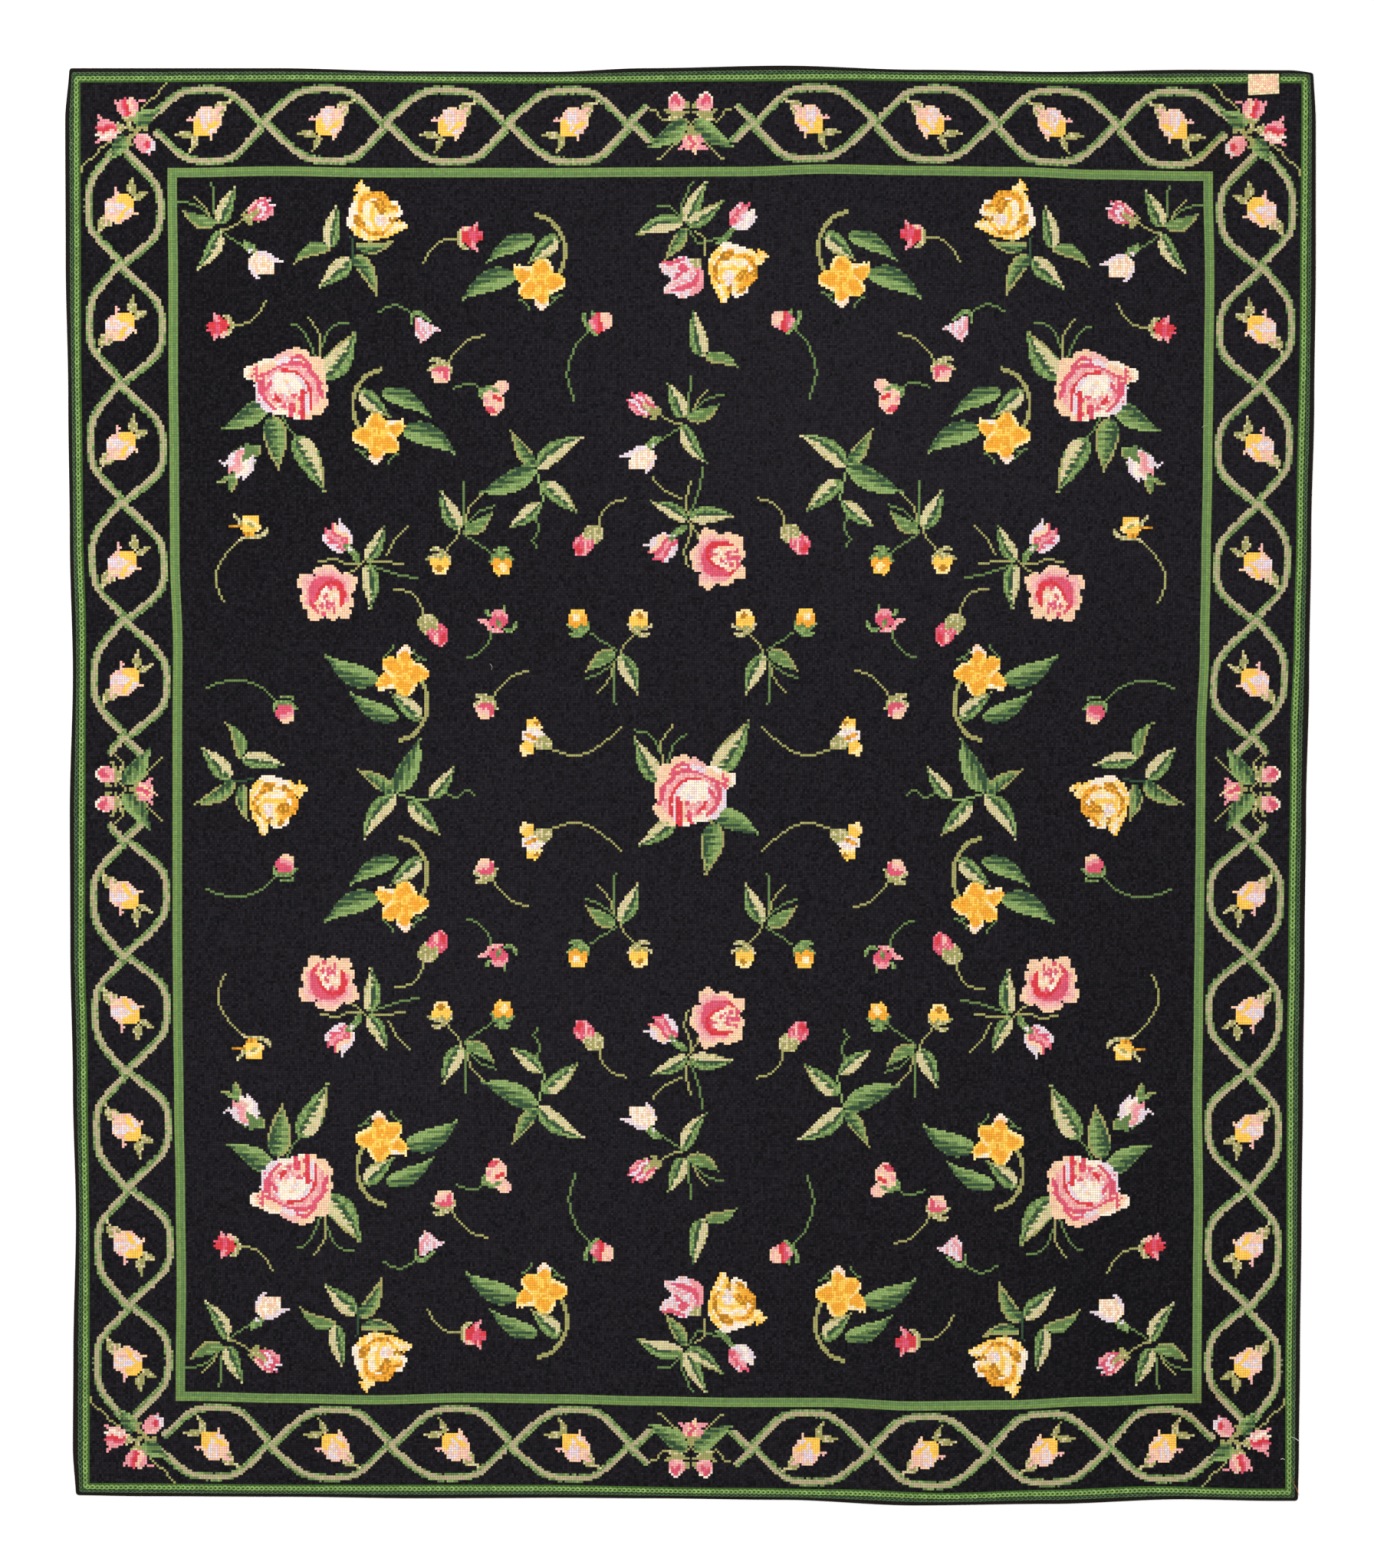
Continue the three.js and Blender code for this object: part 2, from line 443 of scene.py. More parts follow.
@dataclass(frozen=True)
class Bud:
    """A bud that opens towards heading, in degrees up from the right; its petals run from left to right."""

    centre: Point
    heading: float
    length: float
    width: float
    petals: tuple[Wool, ...]
    calyx: Wool | None = Wool.OLIVE
    tips: int = 3

    def work(self, needle: Needle) -> None:
        """Works the bud on the chart."""
        ahead, right = needle.seen_from(self.centre, self.heading)
        along, across = ahead / (self.length / 2), right / (self.width / 2)
        ragged = 1 - 0.18 * (1 + np.cos(across * math.pi * self.tips)) * (self.tips > 0)
        foot, tip = np.clip(-along, 0, 1), np.clip(along, 0, 1)
        full = np.clip(1 - foot ** 2.2, 0, 1) ** 0.6 * (1 - 0.35 * tip ** 2)
        body = (along >= -1) & (along <= ragged) & (np.abs(across) <= full)
        folds = 0.5 + 0.5 * across / np.maximum(full, 0.3) + 0.10 * np.sin(along * 4.2)
        folds += 0.12 * (needle.grain - 0.5)
        needle.shade(body, np.clip(folds, 0, 0.999), self.petals)
        if self.calyx:
            reach = -0.55 + 0.42 * np.cos(across * math.pi * 2.0)
            cup = (along < reach) & (along > -1.3) & (np.abs(across) < 0.55 + 0.4 * (along + 1.3))
            needle.fill(cup, self.calyx)


@dataclass(frozen=True)
class Trumpet:
    """An open flower of pointed petals: each one's heading in degrees, length and half width."""

    centre: Point
    petals: tuple[tuple[float, float, float], ...]
    wools: tuple[Wool, ...]
    rim: Wool
    blunt: float = 0.55

    def work(self, needle: Needle) -> None:
        """Works the flower on the chart."""
        for heading, length, half in self.petals:
            ahead, right = needle.seen_from(self.centre, heading)
            along, across = ahead / length, right / half
            full = np.clip(1 - along, 0, 1) ** self.blunt * np.clip(0.8 + along * 1.1, 0, 1.25)
            body = (along >= -0.1) & (along <= 1) & (np.abs(across) <= full)
            level = np.abs(along - 0.5) * 1.1 + np.abs(across) * 0.7 + 0.3 * (needle.grain - 0.5)
            level = np.clip(level, 0, 0.999)
            needle.shade(body, level, self.wools)
            needle.fill(body & (along > 0.3) & (across > full - 0.28), self.rim)


@dataclass(frozen=True)
class Link:
    """One lens of the interlaced chain, or its part from start to end.

    The strands cross outward of the lens's own middle line, and lean moves their green edge along them.
    """

    pitch: float = 52.0
    swing: float = 14.9
    start: float = -26.0
    end: float = 26.0
    outward: float = 0.7
    slope: float = 1.66
    ribbon: float = 3.2
    core: float = 1.9
    lean: float = 1.1

    def work(self, needle: Needle) -> None:
        """Works both strands of the lens."""
        along = np.linspace(self.start, self.end, 90)
        share = along / (self.pitch / 2)
        rise = self.slope * np.clip(1 - np.abs(share - 0.05 * (1 - share ** 2)), 0, 1)
        share = rise / (1 + rise ** 6) ** (1 / 6)
        line = -self.outward * (1 - share)
        for side in (-1, 1):
            middle = np.column_stack([along + side * self.lean, line + side * self.swing * share])
            away = needle.distance(middle) + 0.35 * (needle.grain - 0.5)
            needle.shade(away <= self.ribbon / 2, needle.grain, (Wool.LEAF_MID, Wool.LEAF_LIGHT))
        for side in (-1, 1):
            middle = np.column_stack([along, line + side * self.swing * share])
            core = needle.distance(middle) + 0.35 * (needle.grain - 0.5)
            needle.fill(core <= self.core / 2, Wool.CHAIN)


Part = Stem | Leaf | Patch | Fold | Petal | Bud | Trumpet | Link


@dataclass(frozen=True)
class Motif:
    """A group of flowers, leaves and stems that is worked in several places of the rug."""

    name: str
    parts: tuple[Part, ...]

    def work(self, chart: Chart, spot: Spot) -> None:
        """Works the motif at one spot of the chart."""
        needle = Needle(chart, spot)
        for part in self.parts:
            part.work(needle)


HALVED, STREAKED, EDGED = LeafStyle.HALVED, LeafStyle.STREAKED, LeafStyle.EDGED
HEARTED, PLAIN, SMALL = LeafStyle.HEARTED, LeafStyle.PLAIN, LeafStyle.OLIVE
# One wool each. A sum of them is a mix, in which a number says how many times in a row its wool comes.
RED, ROSE, PINK, BLUSH = (Wool.RED,), (Wool.ROSE,), (Wool.PINK,), (Wool.BLUSH,)
PEACH, CREAM, MAUVE = (Wool.PEACH,), (Wool.CREAM,), (Wool.LAVENDER,)
BROWN, GOLD, YELLOW, BUTTER = (Wool.BROWN,), (Wool.GOLD,), (Wool.YELLOW,), (Wool.BUTTER,)
OLIVE, GREEN, LIGHT, DEEP = (Wool.OLIVE,), (Wool.LEAF_MID,), (Wool.LEAF_LIGHT,), (Wool.LEAF_DEEP,)
PALE = OLIVE + (Wool.PALE,)
SEPAL = GREEN + LIGHT
SOFT = 2 * CREAM + PEACH + MAUVE + CREAM
AMBER = BROWN + GOLD
PINK_BUD = BLUSH + ROSE + MAUVE + ROSE + MAUVE + ROSE + PINK
BALL = PINK + BLUSH + 2 * PINK + BLUSH + CREAM
BELL = 2 * PINK + PEACH + 2 * ROSE + PEACH + PINK

CABBAGE_ROSE = Motif("cabbage rose", (
    Petal((-13.6, -4.2), (5.2, 3.8), 172, ROSE + PEACH + ROSE + PEACH + CREAM),
    Petal((-8.4, -5.8), (4.8, 4.6), 110, 2 * ROSE + 2 * PEACH + CREAM),
    Petal((-9.4, 4.2), (5.0, 6.6), 195, PINK + CREAM + 2 * ROSE + MAUVE),
    Petal((10.6, 7.6), (6.4, 5.8), -30, PINK + BLUSH + 2 * PEACH),
    Petal((7.4, 10.2), (5.4, 4.4), -65, BLUSH + 2 * PEACH),
    Petal((12.0, 0.6), (5.0, 5.4), 0, PINK + 2 * ROSE + PEACH),
    Petal((9.0, -5.2), (7.0, 6.6), 35, 2 * ROSE + 3 * PEACH),
    Petal((4.4, -9.2), (6.0, 5.4), 75, 2 * ROSE + 2 * PEACH),
    Petal((-0.6, -8.6), (5.2, 4.8), 105, ROSE + CREAM + MAUVE + BLUSH),
    Petal((-6.2, 7.6), (5.8, 6.0), -125, BLUSH + CREAM + PEACH + MAUVE),
    Petal((-1.8, 9.6), (4.6, 5.6), -100, BLUSH + PEACH + CREAM),
    Petal((3.8, 9.6), (6.2, 4.6), -84, ROSE + PEACH + CREAM),
    Patch(((-11, -1), (-7, -6), (-1, -8), (6, -8), (11, -3.6), (13.6, 2), (12.6, 8.6), (8, 12),
           (-2, 11), (-9, 6)), BLUSH + PINK + BLUSH),
    Fold(((-13.4, -2.4), (-8, -4.4), (-2, -7), (3.6, -8.4), (8, -6.8), (11.6, -3)), ROSE, 1.8),
    Fold(((1.6, -10.2), (4.6, -11.4), (7.6, -9.6), (9.8, -7.2)), ROSE, 1.5),
    Fold(((-9, -2), (-4.6, -5), (1, -6.4), (6, -5), (10, -1), (11.8, 4), (11.6, 9)), PINK + BLUSH, 2.2),
    Fold(((8.4, -5), (12.4, -1.8), (13.8, 3.6), (14.6, 6)), ROSE, 1.9),
    Fold(((-2.5, -5.2), (2, -4.6), (6, -1.8), (9, 2), (10, 6.6)), RED, 1.9),
    Fold(((-10.2, -2.4), (-11.2, 2.5), (-9.4, 7.4), (-5.8, 11)), ROSE, 1.9),
    Patch(((-8.6, -0.4), (-5, -4), (1, -4.6), (6, -1.2), (8.2, 3), (5, 5.6), (-2, 6), (-6.8, 3.4)), SOFT),
    Patch(((-5.4, -1.6), (-1, -3.6), (4, -1.6), (5.2, 2.6), (1, 5.2), (-3.4, 3)), CREAM),
    Fold(((4.2, -2.6), (6.8, 0.6), (7.6, 3)), MAUVE, 1.7),
    Fold(((-0.8, -1), (0.6, 1.4), (1.6, 4.4)), MAUVE + CREAM + PEACH, 2.4),
    Fold(((-7, -0.8), (-8.2, 1.6), (-10, 3.6)), ROSE, 1.7),
    Fold(((-7.4, 4.8), (-5, 7.6), (-2, 9.6), (1, 10)), PINK + CREAM + ROSE, 2.2),
    Fold(((-6.4, 4.2), (-4, 5.8), (1, 6.2)), PINK + BLUSH + MAUVE, 2.2),
    Fold(((-5.4, 4.8), (-4.4, 7.2), (-3, 8.6)), RED, 1.6),
    Fold(((1.4, 5.6), (3.4, 5.4)), ROSE, 1.3),
    Fold(((6.6, 3.6), (6.2, 8), (6, 14.8)), RED + ROSE + RED, 3.6),
    Fold(((8.2, 5), (8.4, 8), (8.2, 13.4)), MAUVE, 1.4),
    Fold(((9.8, 5.4), (9.8, 8.4), (9.4, 11.6)), RED, 1.4),
    Fold(((2, 9.4), (1.8, 12), (0.8, 14)), RED + ROSE, 2.4),
    Fold(((3.8, 6.4), (4, 10), (3.6, 14)), PEACH, 1.5),
))

PINK_ROSE_SPRAY = Motif("pink rose spray", (
    Stem(((13, -10), (14, -19), (12, -24), (8.5, -28)), OLIVE),
    Stem(((11.5, -12), (7, -22), (1.5, -25))),
    Stem(((14.5, -16), (18, -24), (25.5, -26))),
    Stem(((-3, 13), (0, 20), (3, 23))),
    Stem(((-6, 14), (-8, 19), (-8, 22)), OLIVE),
    Leaf((15, -2), (28.8, -22.5), 5.7, HEARTED, -1.2),
    Leaf((-8, 8), (-28.5, 19.7), 4.6, STREAKED, 1.0),
    Leaf((-7, 14.2), (-4.5, 37.7), 5.1, EDGED, 0.5),
    Leaf((3, 22.7), (15.5, 46.7), 5.2, HEARTED, 0.5),
    Leaf((-12, 27), (-19, 32), 2.3, PLAIN, 0.4),
    Leaf((-23.6, 39), (-31.2, 42.4), 1.1, PLAIN, 0.6),
    Leaf((-22.6, 38), (-25, 47.6), 2.0, PLAIN, 0.0),
    Bud((-20.4, 34.2), -128, 13.5, 12, MAUVE + CREAM + BLUSH + PINK + MAUVE, Wool.LEAF_MID),
    Stem(((-26, 34), (-29.6, 33.6)), MAUVE),
    Stem(((-19.6, 39), (-19, 41.4)), MAUVE),
))

YELLOW_ROSE = Motif("yellow rose", (
    Patch(((-8.6, -4), (-8.2, -9), (-8.6, -12), (-6.8, -13.6), (-5.8, -12.6), (-7, -9.8), (-6, -11.4),
           (-3.4, -11), (-3.4, -8), (-5, -4)), YELLOW + BUTTER),
    Fold(((-9.8, -9.6), (-7.6, -10.4)), YELLOW, 1.2),
    Patch(((-9.8, -7), (-3.8, -9), (-5, -3), (-8, 0.6), (-9.8, -1)), BUTTER + YELLOW),
    Petal((-5.0, 3.0), (7.6, 8.4), 200, YELLOW + BUTTER + CREAM),
    Patch(((-1, 2), (6, 3.6), (11, 3.6), (13.4, 6.2), (9, 8.6), (4, 11), (-3, 11.8),
           (-8.6, 10.2), (-11, 6.4), (-6, 5)), 2 * YELLOW + BUTTER),
    Patch(((-9, 4.4), (-4, 8), (3, 7.4), (11, 4.4), (12.6, 5.6), (6, 8), (1, 10), (-5, 9.8)),
          BUTTER + CREAM),
    Petal((5.8, -0.6), (4.6, 4.8), 15, YELLOW + MAUVE + BUTTER + CREAM),
    Petal((-0.6, -2.2), (6.6, 7.2), 90, 2 * BUTTER + YELLOW + 2 * GOLD),
    Fold(((-6, -4.6), (-3, -7.6), (2, -7.8), (5, -5.4)), GOLD + BROWN + GOLD, 1.5),
    Fold(((-5.4, -6), (-7.2, -3.6), (-6.8, -0.4)), GOLD + BROWN + GOLD, 2.0),
    Fold(((-8.6, 2), (-7.4, 4.2), (-6.4, 6.2)), AMBER, 4.0),
    Fold(((-5.6, 7), (-3.2, 8.8), (0, 9.4), (3, 8.4), (4.4, 7.4)), BROWN + GOLD, 1.7),
    Patch(((-5.6, -3.4), (-3.6, -4.8), (-2, -3), (-1.2, 2), (-1.4, 5.4), (-3, 6.6), (-5.4, 4), (-6.4, 0)),
          BUTTER + CREAM),
    Patch(((-1.6, 2.2), (3, 1.4), (5.4, 3.2), (3.4, 5.6), (-0.6, 5.2)), MAUVE + CREAM + PEACH),
    Fold(((-1.6, -3.4), (-1.8, 1), (-1.6, 6)), YELLOW, 1.4),
    Fold(((-0.2, -5), (1.6, -3.2), (2.6, -0.4)), BROWN + GOLD, 4.6),
    Fold(((-2.4, -5.4), (-0.6, -5.6)), CREAM, 1.6),
    Fold(((6, -2.8), (7.8, -2.2), (8.8, -0.4)), AMBER, 1.7),
    Fold(((5.4, 2.2), (6.6, 4.2)), BROWN, 1.2),
    Fold(((6.8, 3.4), (8.6, 2.8)), BROWN, 1.1),
))

YELLOW_ROSE_SPRAY = Motif("yellow rose spray", (
    Stem(((-11, 10), (-10.5, 16), (-10.5, 22)), DEEP),
    Leaf((-20, 15), (-16.7, -3.5), 3.7, HALVED, 0.5),
    Leaf((-20, 15.5), (-35.5, 22.5), 3.0, PLAIN, -2.5),
    Leaf((-9, 14.5), (7.5, 12), 2.8, EDGED, -1.8),
    Leaf((-11, 20), (-25, 32.5), 4.1, HALVED, 0.0, -1),
    Leaf((-9.5, 18), (-0.5, 36), 3.4, EDGED, 1.6),
) + YELLOW_ROSE.parts)

DAFFODIL = Motif("daffodil spray", (
    Stem(((-2, -29), (4.5, -26), (9.5, -18), (9.5, -9), (7.5, -4)), OLIVE, 1.9),
    Leaf((-2.5, -19.5), (-23.5, -8.5), 3.9, STREAKED, -2.0),
    Leaf((7, -20), (-6, -8.5), 3.9, HEARTED, 0.5),
    Leaf((-11, -3.5), (-34, 7.5), 4.9, STREAKED, -2.5),
    Stem(((-9, 7), (-7.4, 8), (-5, 11.4)), GREEN),
    Stem(((4, 5), (6, 6.4), (9, 5.4)), GREEN),
    Stem(((6, 6), (5.4, 8), (4, 9.4)), GREEN),
    Trumpet((-0.4, 0.2), ((152, 13, 4.6), (82, 10.6, 5.6), (4, 11, 4.8), (-88, 11.4, 3.6), (208, 10.4, 4.4)),
            2 * GOLD + 2 * YELLOW, Wool.BUTTER, 0.42),
    Patch(((-3.2, -2.6), (1.4, -3), (3.4, 0), (1.6, 3), (-2.2, 3)), 2 * YELLOW + GOLD),
    Fold(((-1.8, 0.6), (0.8, 1.2), (0.6, 6.4)), GOLD, 1.3),
    Fold(((-2.4, 8.6), (0.4, 10.6), (2.6, 8.6)), CREAM + PEACH, 2.2),
    Fold(((-9.6, -7.2), (-6.6, -6.2), (-4.4, -5)), CREAM + BUTTER, 1.3),
    Fold(((-11.2, -8), (-11, -6)), BUTTER, 1.0),
))

TWO_BUD_SPRIG = Motif("two bud sprig", (
    Stem(((-1, -2), (-2, -8), (-2.8, -18.5))),
    Stem(((-1.5, -1.5), (-6, -6), (-11, -9.5), (-17, -10.5))),
    Stem(((-3, -3), (-5.5, -8), (-10, -12.5)), OLIVE),
    Stem(((1, 1.5), (6, 0.5), (9, -1.5), (11, -3)), OLIVE),
    Stem(((1, 2), (7, 6.5), (11, 8.5))),
    Leaf((0.5, -1), (7.2, -16.5), 3.6, HALVED, 0.6),
    Leaf((-1, -1), (-15.8, -7.5), 3.1, PLAIN, 1.8),
    Leaf((0.5, 2), (-10, 18.5), 3.4, HALVED, 1.6),
    Bud((18, -6.8), 32, 13, 9.5, PINK_BUD),
    Fold(((12, -3.2), (14.6, -5.2), (17, -7.2)), PALE, 1.6),
    Fold(((11, 7.4), (13.4, 9.6), (16, 12)), SEPAL, 3.6),
    Patch(((13, 13.4), (17, 11), (22, 13.2), (23.2, 17.6), (23, 20.6), (14.6, 20.6), (12, 16.4)),
          PEACH + CREAM),
    Fold(((16.4, 12), (20, 12.2), (23.4, 14.6), (26.6, 15.4)), MAUVE, 1.8),
    Fold(((12.4, 16.4), (14.6, 20.4), (16.4, 22.4)), MAUVE, 1.3),
    Fold(((13, 10.4), (13.4, 10.8)), MAUVE, 1.6),
))

LEAF_GROUP = Motif("leaf group", (
    Stem(((2.5, 16), (0, 20.5), (2, 26.5), (-1, 31), (1, 34))),
    Stem(((0.5, 1), (2, 6), (3.5, 13.5)), LIGHT),
    Leaf((0, -0.5), (-10, -16.5), 3.2, EDGED, 0.6),
    Leaf((1, 0), (20.5, -13.5), 4.3, HALVED, 2.0, -1),
    Leaf((0, 0), (-23.5, 10.5), 4.8, STREAKED, 1.2),
    Leaf((3.5, 6), (18.5, 19.5), 3.8, HEARTED, 0.5),
    Leaf((2.5, 14.5), (-11.5, 25.5), 3.3, HALVED, 0.8, -1),
))

YELLOW_BUD_SPRIG = Motif("yellow bud sprig", (
    Stem(((1.5, -2), (1.7, -12), (1.5, -20.5))),
    Stem(((2, -3), (4, -10.5), (9, -15.5)), OLIVE),
    Stem(((2, -2.5), (8, -7.5), (14.5, -10))),
    Stem(((-0.5, 0.5), (-2, 4), (-5.5, 8.5)), OLIVE),
    Stem(((1.5, 2), (7, 5.5), (12.5, 9.5))),
    Leaf((-0.5, 0), (-8.5, -17), 3.9, HALVED, 0.6, -1),
    Leaf((1.5, 1.5), (14, -7.5), 3.1, PLAIN, -1.0, -1),
    Petal((-8.8, 14.6), (5.0, 4.2), -92, OLIVE + 2 * YELLOW + BUTTER),
    Fold(((-10, 16.2), (-8.4, 17.2)), BROWN, 2.4),
    Fold(((-13, 8.8), (-10, 8.2), (-7, 9.6)), PALE, 1.4),
    Fold(((-14.4, 12.6), (-11, 11.2), (-6, 10.8), (-4.4, 13.4)), PALE, 1.5),
    Petal((17.4, 15.0), (5.0, 4.2), -88, GREEN + 2 * GOLD + YELLOW),
    Patch(((16.4, 14.6), (19.4, 15), (19.4, 17.4), (16.8, 17.4)), BUTTER + CREAM),
    Fold(((14.6, 8.8), (18, 8.2), (20.8, 8.6)), SEPAL, 1.4),
    Fold(((12.8, 13.6), (14, 11), (18, 10.4), (22.2, 13)), SEPAL, 1.7),
))

OPEN_ROSE = Motif("open rose", (
    Petal((0.2, -7.0), (4.6, 6.0), 90, 3 * PINK + BLUSH + PEACH),
    Petal((8.0, -3.6), (5.0, 4.2), 22, 2 * PINK + BLUSH + PEACH),
    Petal((-8.2, -3.6), (5.0, 4.2), 155, 2 * PINK + BLUSH + PEACH),
    Petal((-7.6, 3.4), (4.2, 4.4), 192, 3 * PINK + PEACH),
    Petal((7.0, 3.8), (4.0, 4.6), -12, 2 * PINK + PEACH),
    Petal((-5.0, 7.8), (4.8, 3.8), -122, PINK + 2 * PEACH),
    Petal((6.4, 8.0), (3.8, 3.2), -48, PEACH),
    Petal((1.8, 8.6), (3.8, 3.0), -82, PEACH),
    Petal((0.0, 1.6), (7.6, 7.2), -90, PINK + 2 * PEACH, 0.02),
    Fold(((-6.0, 3.0), (-5.6, -1.2), (-3.4, -3.6), (1.4, -4.2), (4.6, -3.6)), ROSE, 4.8),
    Fold(((-4.6, 3.4), (-3.6, 0.6), (-0.4, -3.2), (1.4, -4.2)), RED, 1.5),
    Fold(((1.6, -4.4), (5.2, -2.8), (6.4, 1.2), (5.6, 6)), RED, 2.6),
    Fold(((-7, 3.2), (-6.6, 5.6), (-5, 7.6)), RED + ROSE, 1.6),
    Patch(((-4, 4.4), (-3.2, 1.2), (0, -3.2), (0.8, -0.6), (4, -0.6), (4.4, 4), (1, 6.4), (-3, 7)),
          PEACH + CREAM),
    Fold(((1.4, -2.8), (1.8, -0.6)), ROSE, 1.5),
    Fold(((-2.0, 3.6), (-0.4, 1.2)), ROSE, 1.2),
    Fold(((-2.8, 7.0), (-2.6, 5.0)), ROSE, 1.4),
    Fold(((0, 4.2), (0.2, 7.2)), 2 * ROSE + PINK, 2.8),
    Fold(((2.2, 3.8), (2.8, 6.8)), ROSE + PINK, 1.5),
    Fold(((-5, 8), (-2.6, 9.4), (1, 9.2), (4.4, 7.6)), ROSE + PEACH + ROSE, 1.7),
))

OPEN_ROSE_SPRAY = Motif("open rose spray", (
    Stem(((9.5, -3.5), (13.5, -11), (18.5, -15.5)), OLIVE),
    Stem(((3, -0.5), (10, -0.8), (16.5, 0.5)), OLIVE),
    Stem(((3, 0.5), (14, 4.5), (23, 6))),
    Stem(((0, -0.5), (-4, 2.5), (-8, 4.5)), OLIVE),
    Stem(((-1, 0.4), (-7, 0.4), (-13, -1.8), (-19, -0.6)), OLIVE),
    Leaf((0.5, -1), (8.5, -16.5), 3.3, HALVED, -1.0),
    Leaf((1.5, 0.5), (2, 19.5), 3.8, HALVED, 1.0, -1),
    Bud((-11.2, -11), 128, 13.5, 11.5, MAUVE + ROSE + PINK + ROSE + PEACH + MAUVE, None),
    Fold(((-2.6, -1), (-4.4, -4.6), (-8, -7.6)), SEPAL, 3.0),
    Fold(((-10.2, -16), (-10.4, -19.4)), MAUVE, 1.2),
    Fold(((-15, -9.6), (-18, -9.6)), MAUVE, 1.1),
    Fold(((-6.4, -6.2), (-6, -6)), MAUVE, 1.6),
))

TOP_CENTRE_GROUP = Motif("top centre group", (
    Stem(((-0.5, -2), (-1.5, -8.5), (3, -18.5))),
    Stem(((-1.5, -3.5), (-6, -7.5), (-11.5, -8))),
    Stem(((1.5, 1.5), (5.5, 8), (10, 7), (19, 4.5))),
    Stem(((4, 2.5), (8.5, 6), (8.5, 13)), OLIVE),
    Leaf((0, -0.5), (9.5, -19), 3.4, HALVED, 0.6),
    Leaf((1, 0.5), (16.5, -10.5), 3.4, HEARTED, -0.6),
    Leaf((-1, -1.5), (-21.5, 4.5), 3.9, HALVED, -1.6),
    Leaf((0.5, 1.5), (-9, 15), 3.0, EDGED, 0.6),
    Bud((24.4, -3.2), 45, 13, 11, PINK + ROSE + PINK + MAUVE + CREAM + MAUVE, None),
    Fold(((14, 8), (17, 5.6), (21, 1.6)), SEPAL, 2.6),
    Fold(((23.4, -7), (22.8, -9)), MAUVE, 1.1),
    Patch(((-10.6, 16), (-6, 15.4), (-3, 13.8), (0.4, 13.8), (4, 15.4), (7.2, 18.5), (7.6, 26),
           (5, 29.5), (1, 31), (-2, 31.6), (-5, 29.6), (-9.4, 28.6), (-7.4, 25.4), (-5.6, 23.6), (-7, 21.6),
           (-10, 20)), 2 * MAUVE + BLUSH),
    Fold(((4, 17.4), (6.4, 21), (6.2, 26), (3, 29.6)), PINK, 3.2),
    Fold(((-9.6, 16.2), (-4, 15.8), (-0.4, 14.2)), ROSE, 1.7),
    Fold(((-1.8, 18.2), (0.2, 19.4)), ROSE, 3.8),
    Fold(((-1.5, 20), (-5, 23.4)), ROSE, 1.5),
    Fold(((3.6, 20.5), (0, 24.4), (-5, 26.4)), PINK + MAUVE + PINK, 2.4),
    Fold(((5.4, 20.6), (4, 24.6), (-1, 27), (-5, 28)), ROSE, 2.4),
    Patch(((1.6, 15), (6.6, 14.6), (6.8, 18.6), (3.6, 18)), PALE),
))

TWO_LEAVES = Motif("two leaves", (
    Leaf((-0.5, 0), (-4.5, -20.5), 3.9, HALVED, 0.6, -1),
    Leaf((0.5, 0), (15, 5), 2.8, PLAIN, 1.8, -1),
))

CENTRE_ROSE_SPRAY = Motif("centre rose spray", (
    Stem(((-11, -8), (-14, -19.5), (-8.5, -28)), OLIVE),
    Stem(((-14, -16), (-18, -23.5), (-25, -25.5))),
    Stem(((-11, -12), (-8, -20), (-2.5, -23.5))),
    Stem(((7, 12), (10, 16)), OLIVE, 1.6),
    Leaf((9, -7), (24.5, -30), 5.4, HEARTED, -1.0),
    Leaf((-14, -3), (-25, -23), 4.3, HALVED, 0.8, -1),
    Leaf((-7.5, 12), (-23.5, 24), 3.9, HALVED, 0.8, -1),
    Leaf((9.5, 14), (5.5, 36.5), 5.1, EDGED, 0.5),
    Leaf((9, 10), (28.5, 19), 4.6, STREAKED, 1.0),
))

CORNER_CLUSTER = Motif("corner cluster", (
    Stem(((5, -8), (8, -11.4), (12, -13.6), (13, -16.6), (17, -19)), OLIVE),
    Stem(((-8.4, 5.6), (-12.4, 8.4), (-14.6, 12.4), (-18.4, 13.6), (-20, 17.4)), OLIVE),
    Leaf((2, -1.5), (12.4, -7.8), 3.4, STREAKED, 0.4),
    Leaf((-1.5, 3), (-8.2, 13), 3.1, STREAKED, 0.4),
    Bud((-0.6, -8.2), 92, 9.5, 8, PINK + ROSE + RED + BLUSH + PEACH + PINK, None),
    Fold(((-6, -11.2), (-4.6, -8.8), (-4.4, -6.2)), PINK, 1.2),
    Fold(((5.8, -11), (4, -10.8)), PINK, 1.2),
    Bud((-9.6, 1.2), 180, 9.8, 8.5, BLUSH + CREAM + BLUSH + RED + ROSE + PINK, None),
    Fold(((-13.4, 6.2), (-13, 4.4)), PINK, 1.2),
    Fold(((-13.6, -5.8), (-11, -3.4), (-8, -2.6)), PINK, 1.2),
    Bud((6.1, 6.1), -42, 9.4, 7.2, BLUSH + 3 * PINK, None, 0),
    Fold(((9.6, 5.4), (9.6, 8.4), (7, 9.6)), MAUVE, 1.3),
    Fold(((6.8, 6.4), (8, 7.6)), RED + ROSE, 2.8),
    Fold(((2.4, 1.8), (4.6, -0.2), (7.4, 0.6)), OLIVE, 1.7),
    Fold(((1.8, 2.6), (-0.6, 4.4), (0.6, 7)), OLIVE, 1.7),
    Patch(((-3.8, -4.4), (1.8, -4.4), (0.6, -2.2), (-0.8, 0.2), (-1.8, -2.4)), PALE),
    Patch(((-5.4, -2.6), (-4.6, 2.4), (-2.4, 0.4), (-0.6, -0.2), (-2.6, -1.2)), PALE),
    Fold(((-1.4, -0.6), (1.4, 0.8), (2.4, 2)), OLIVE, 1.6),
))

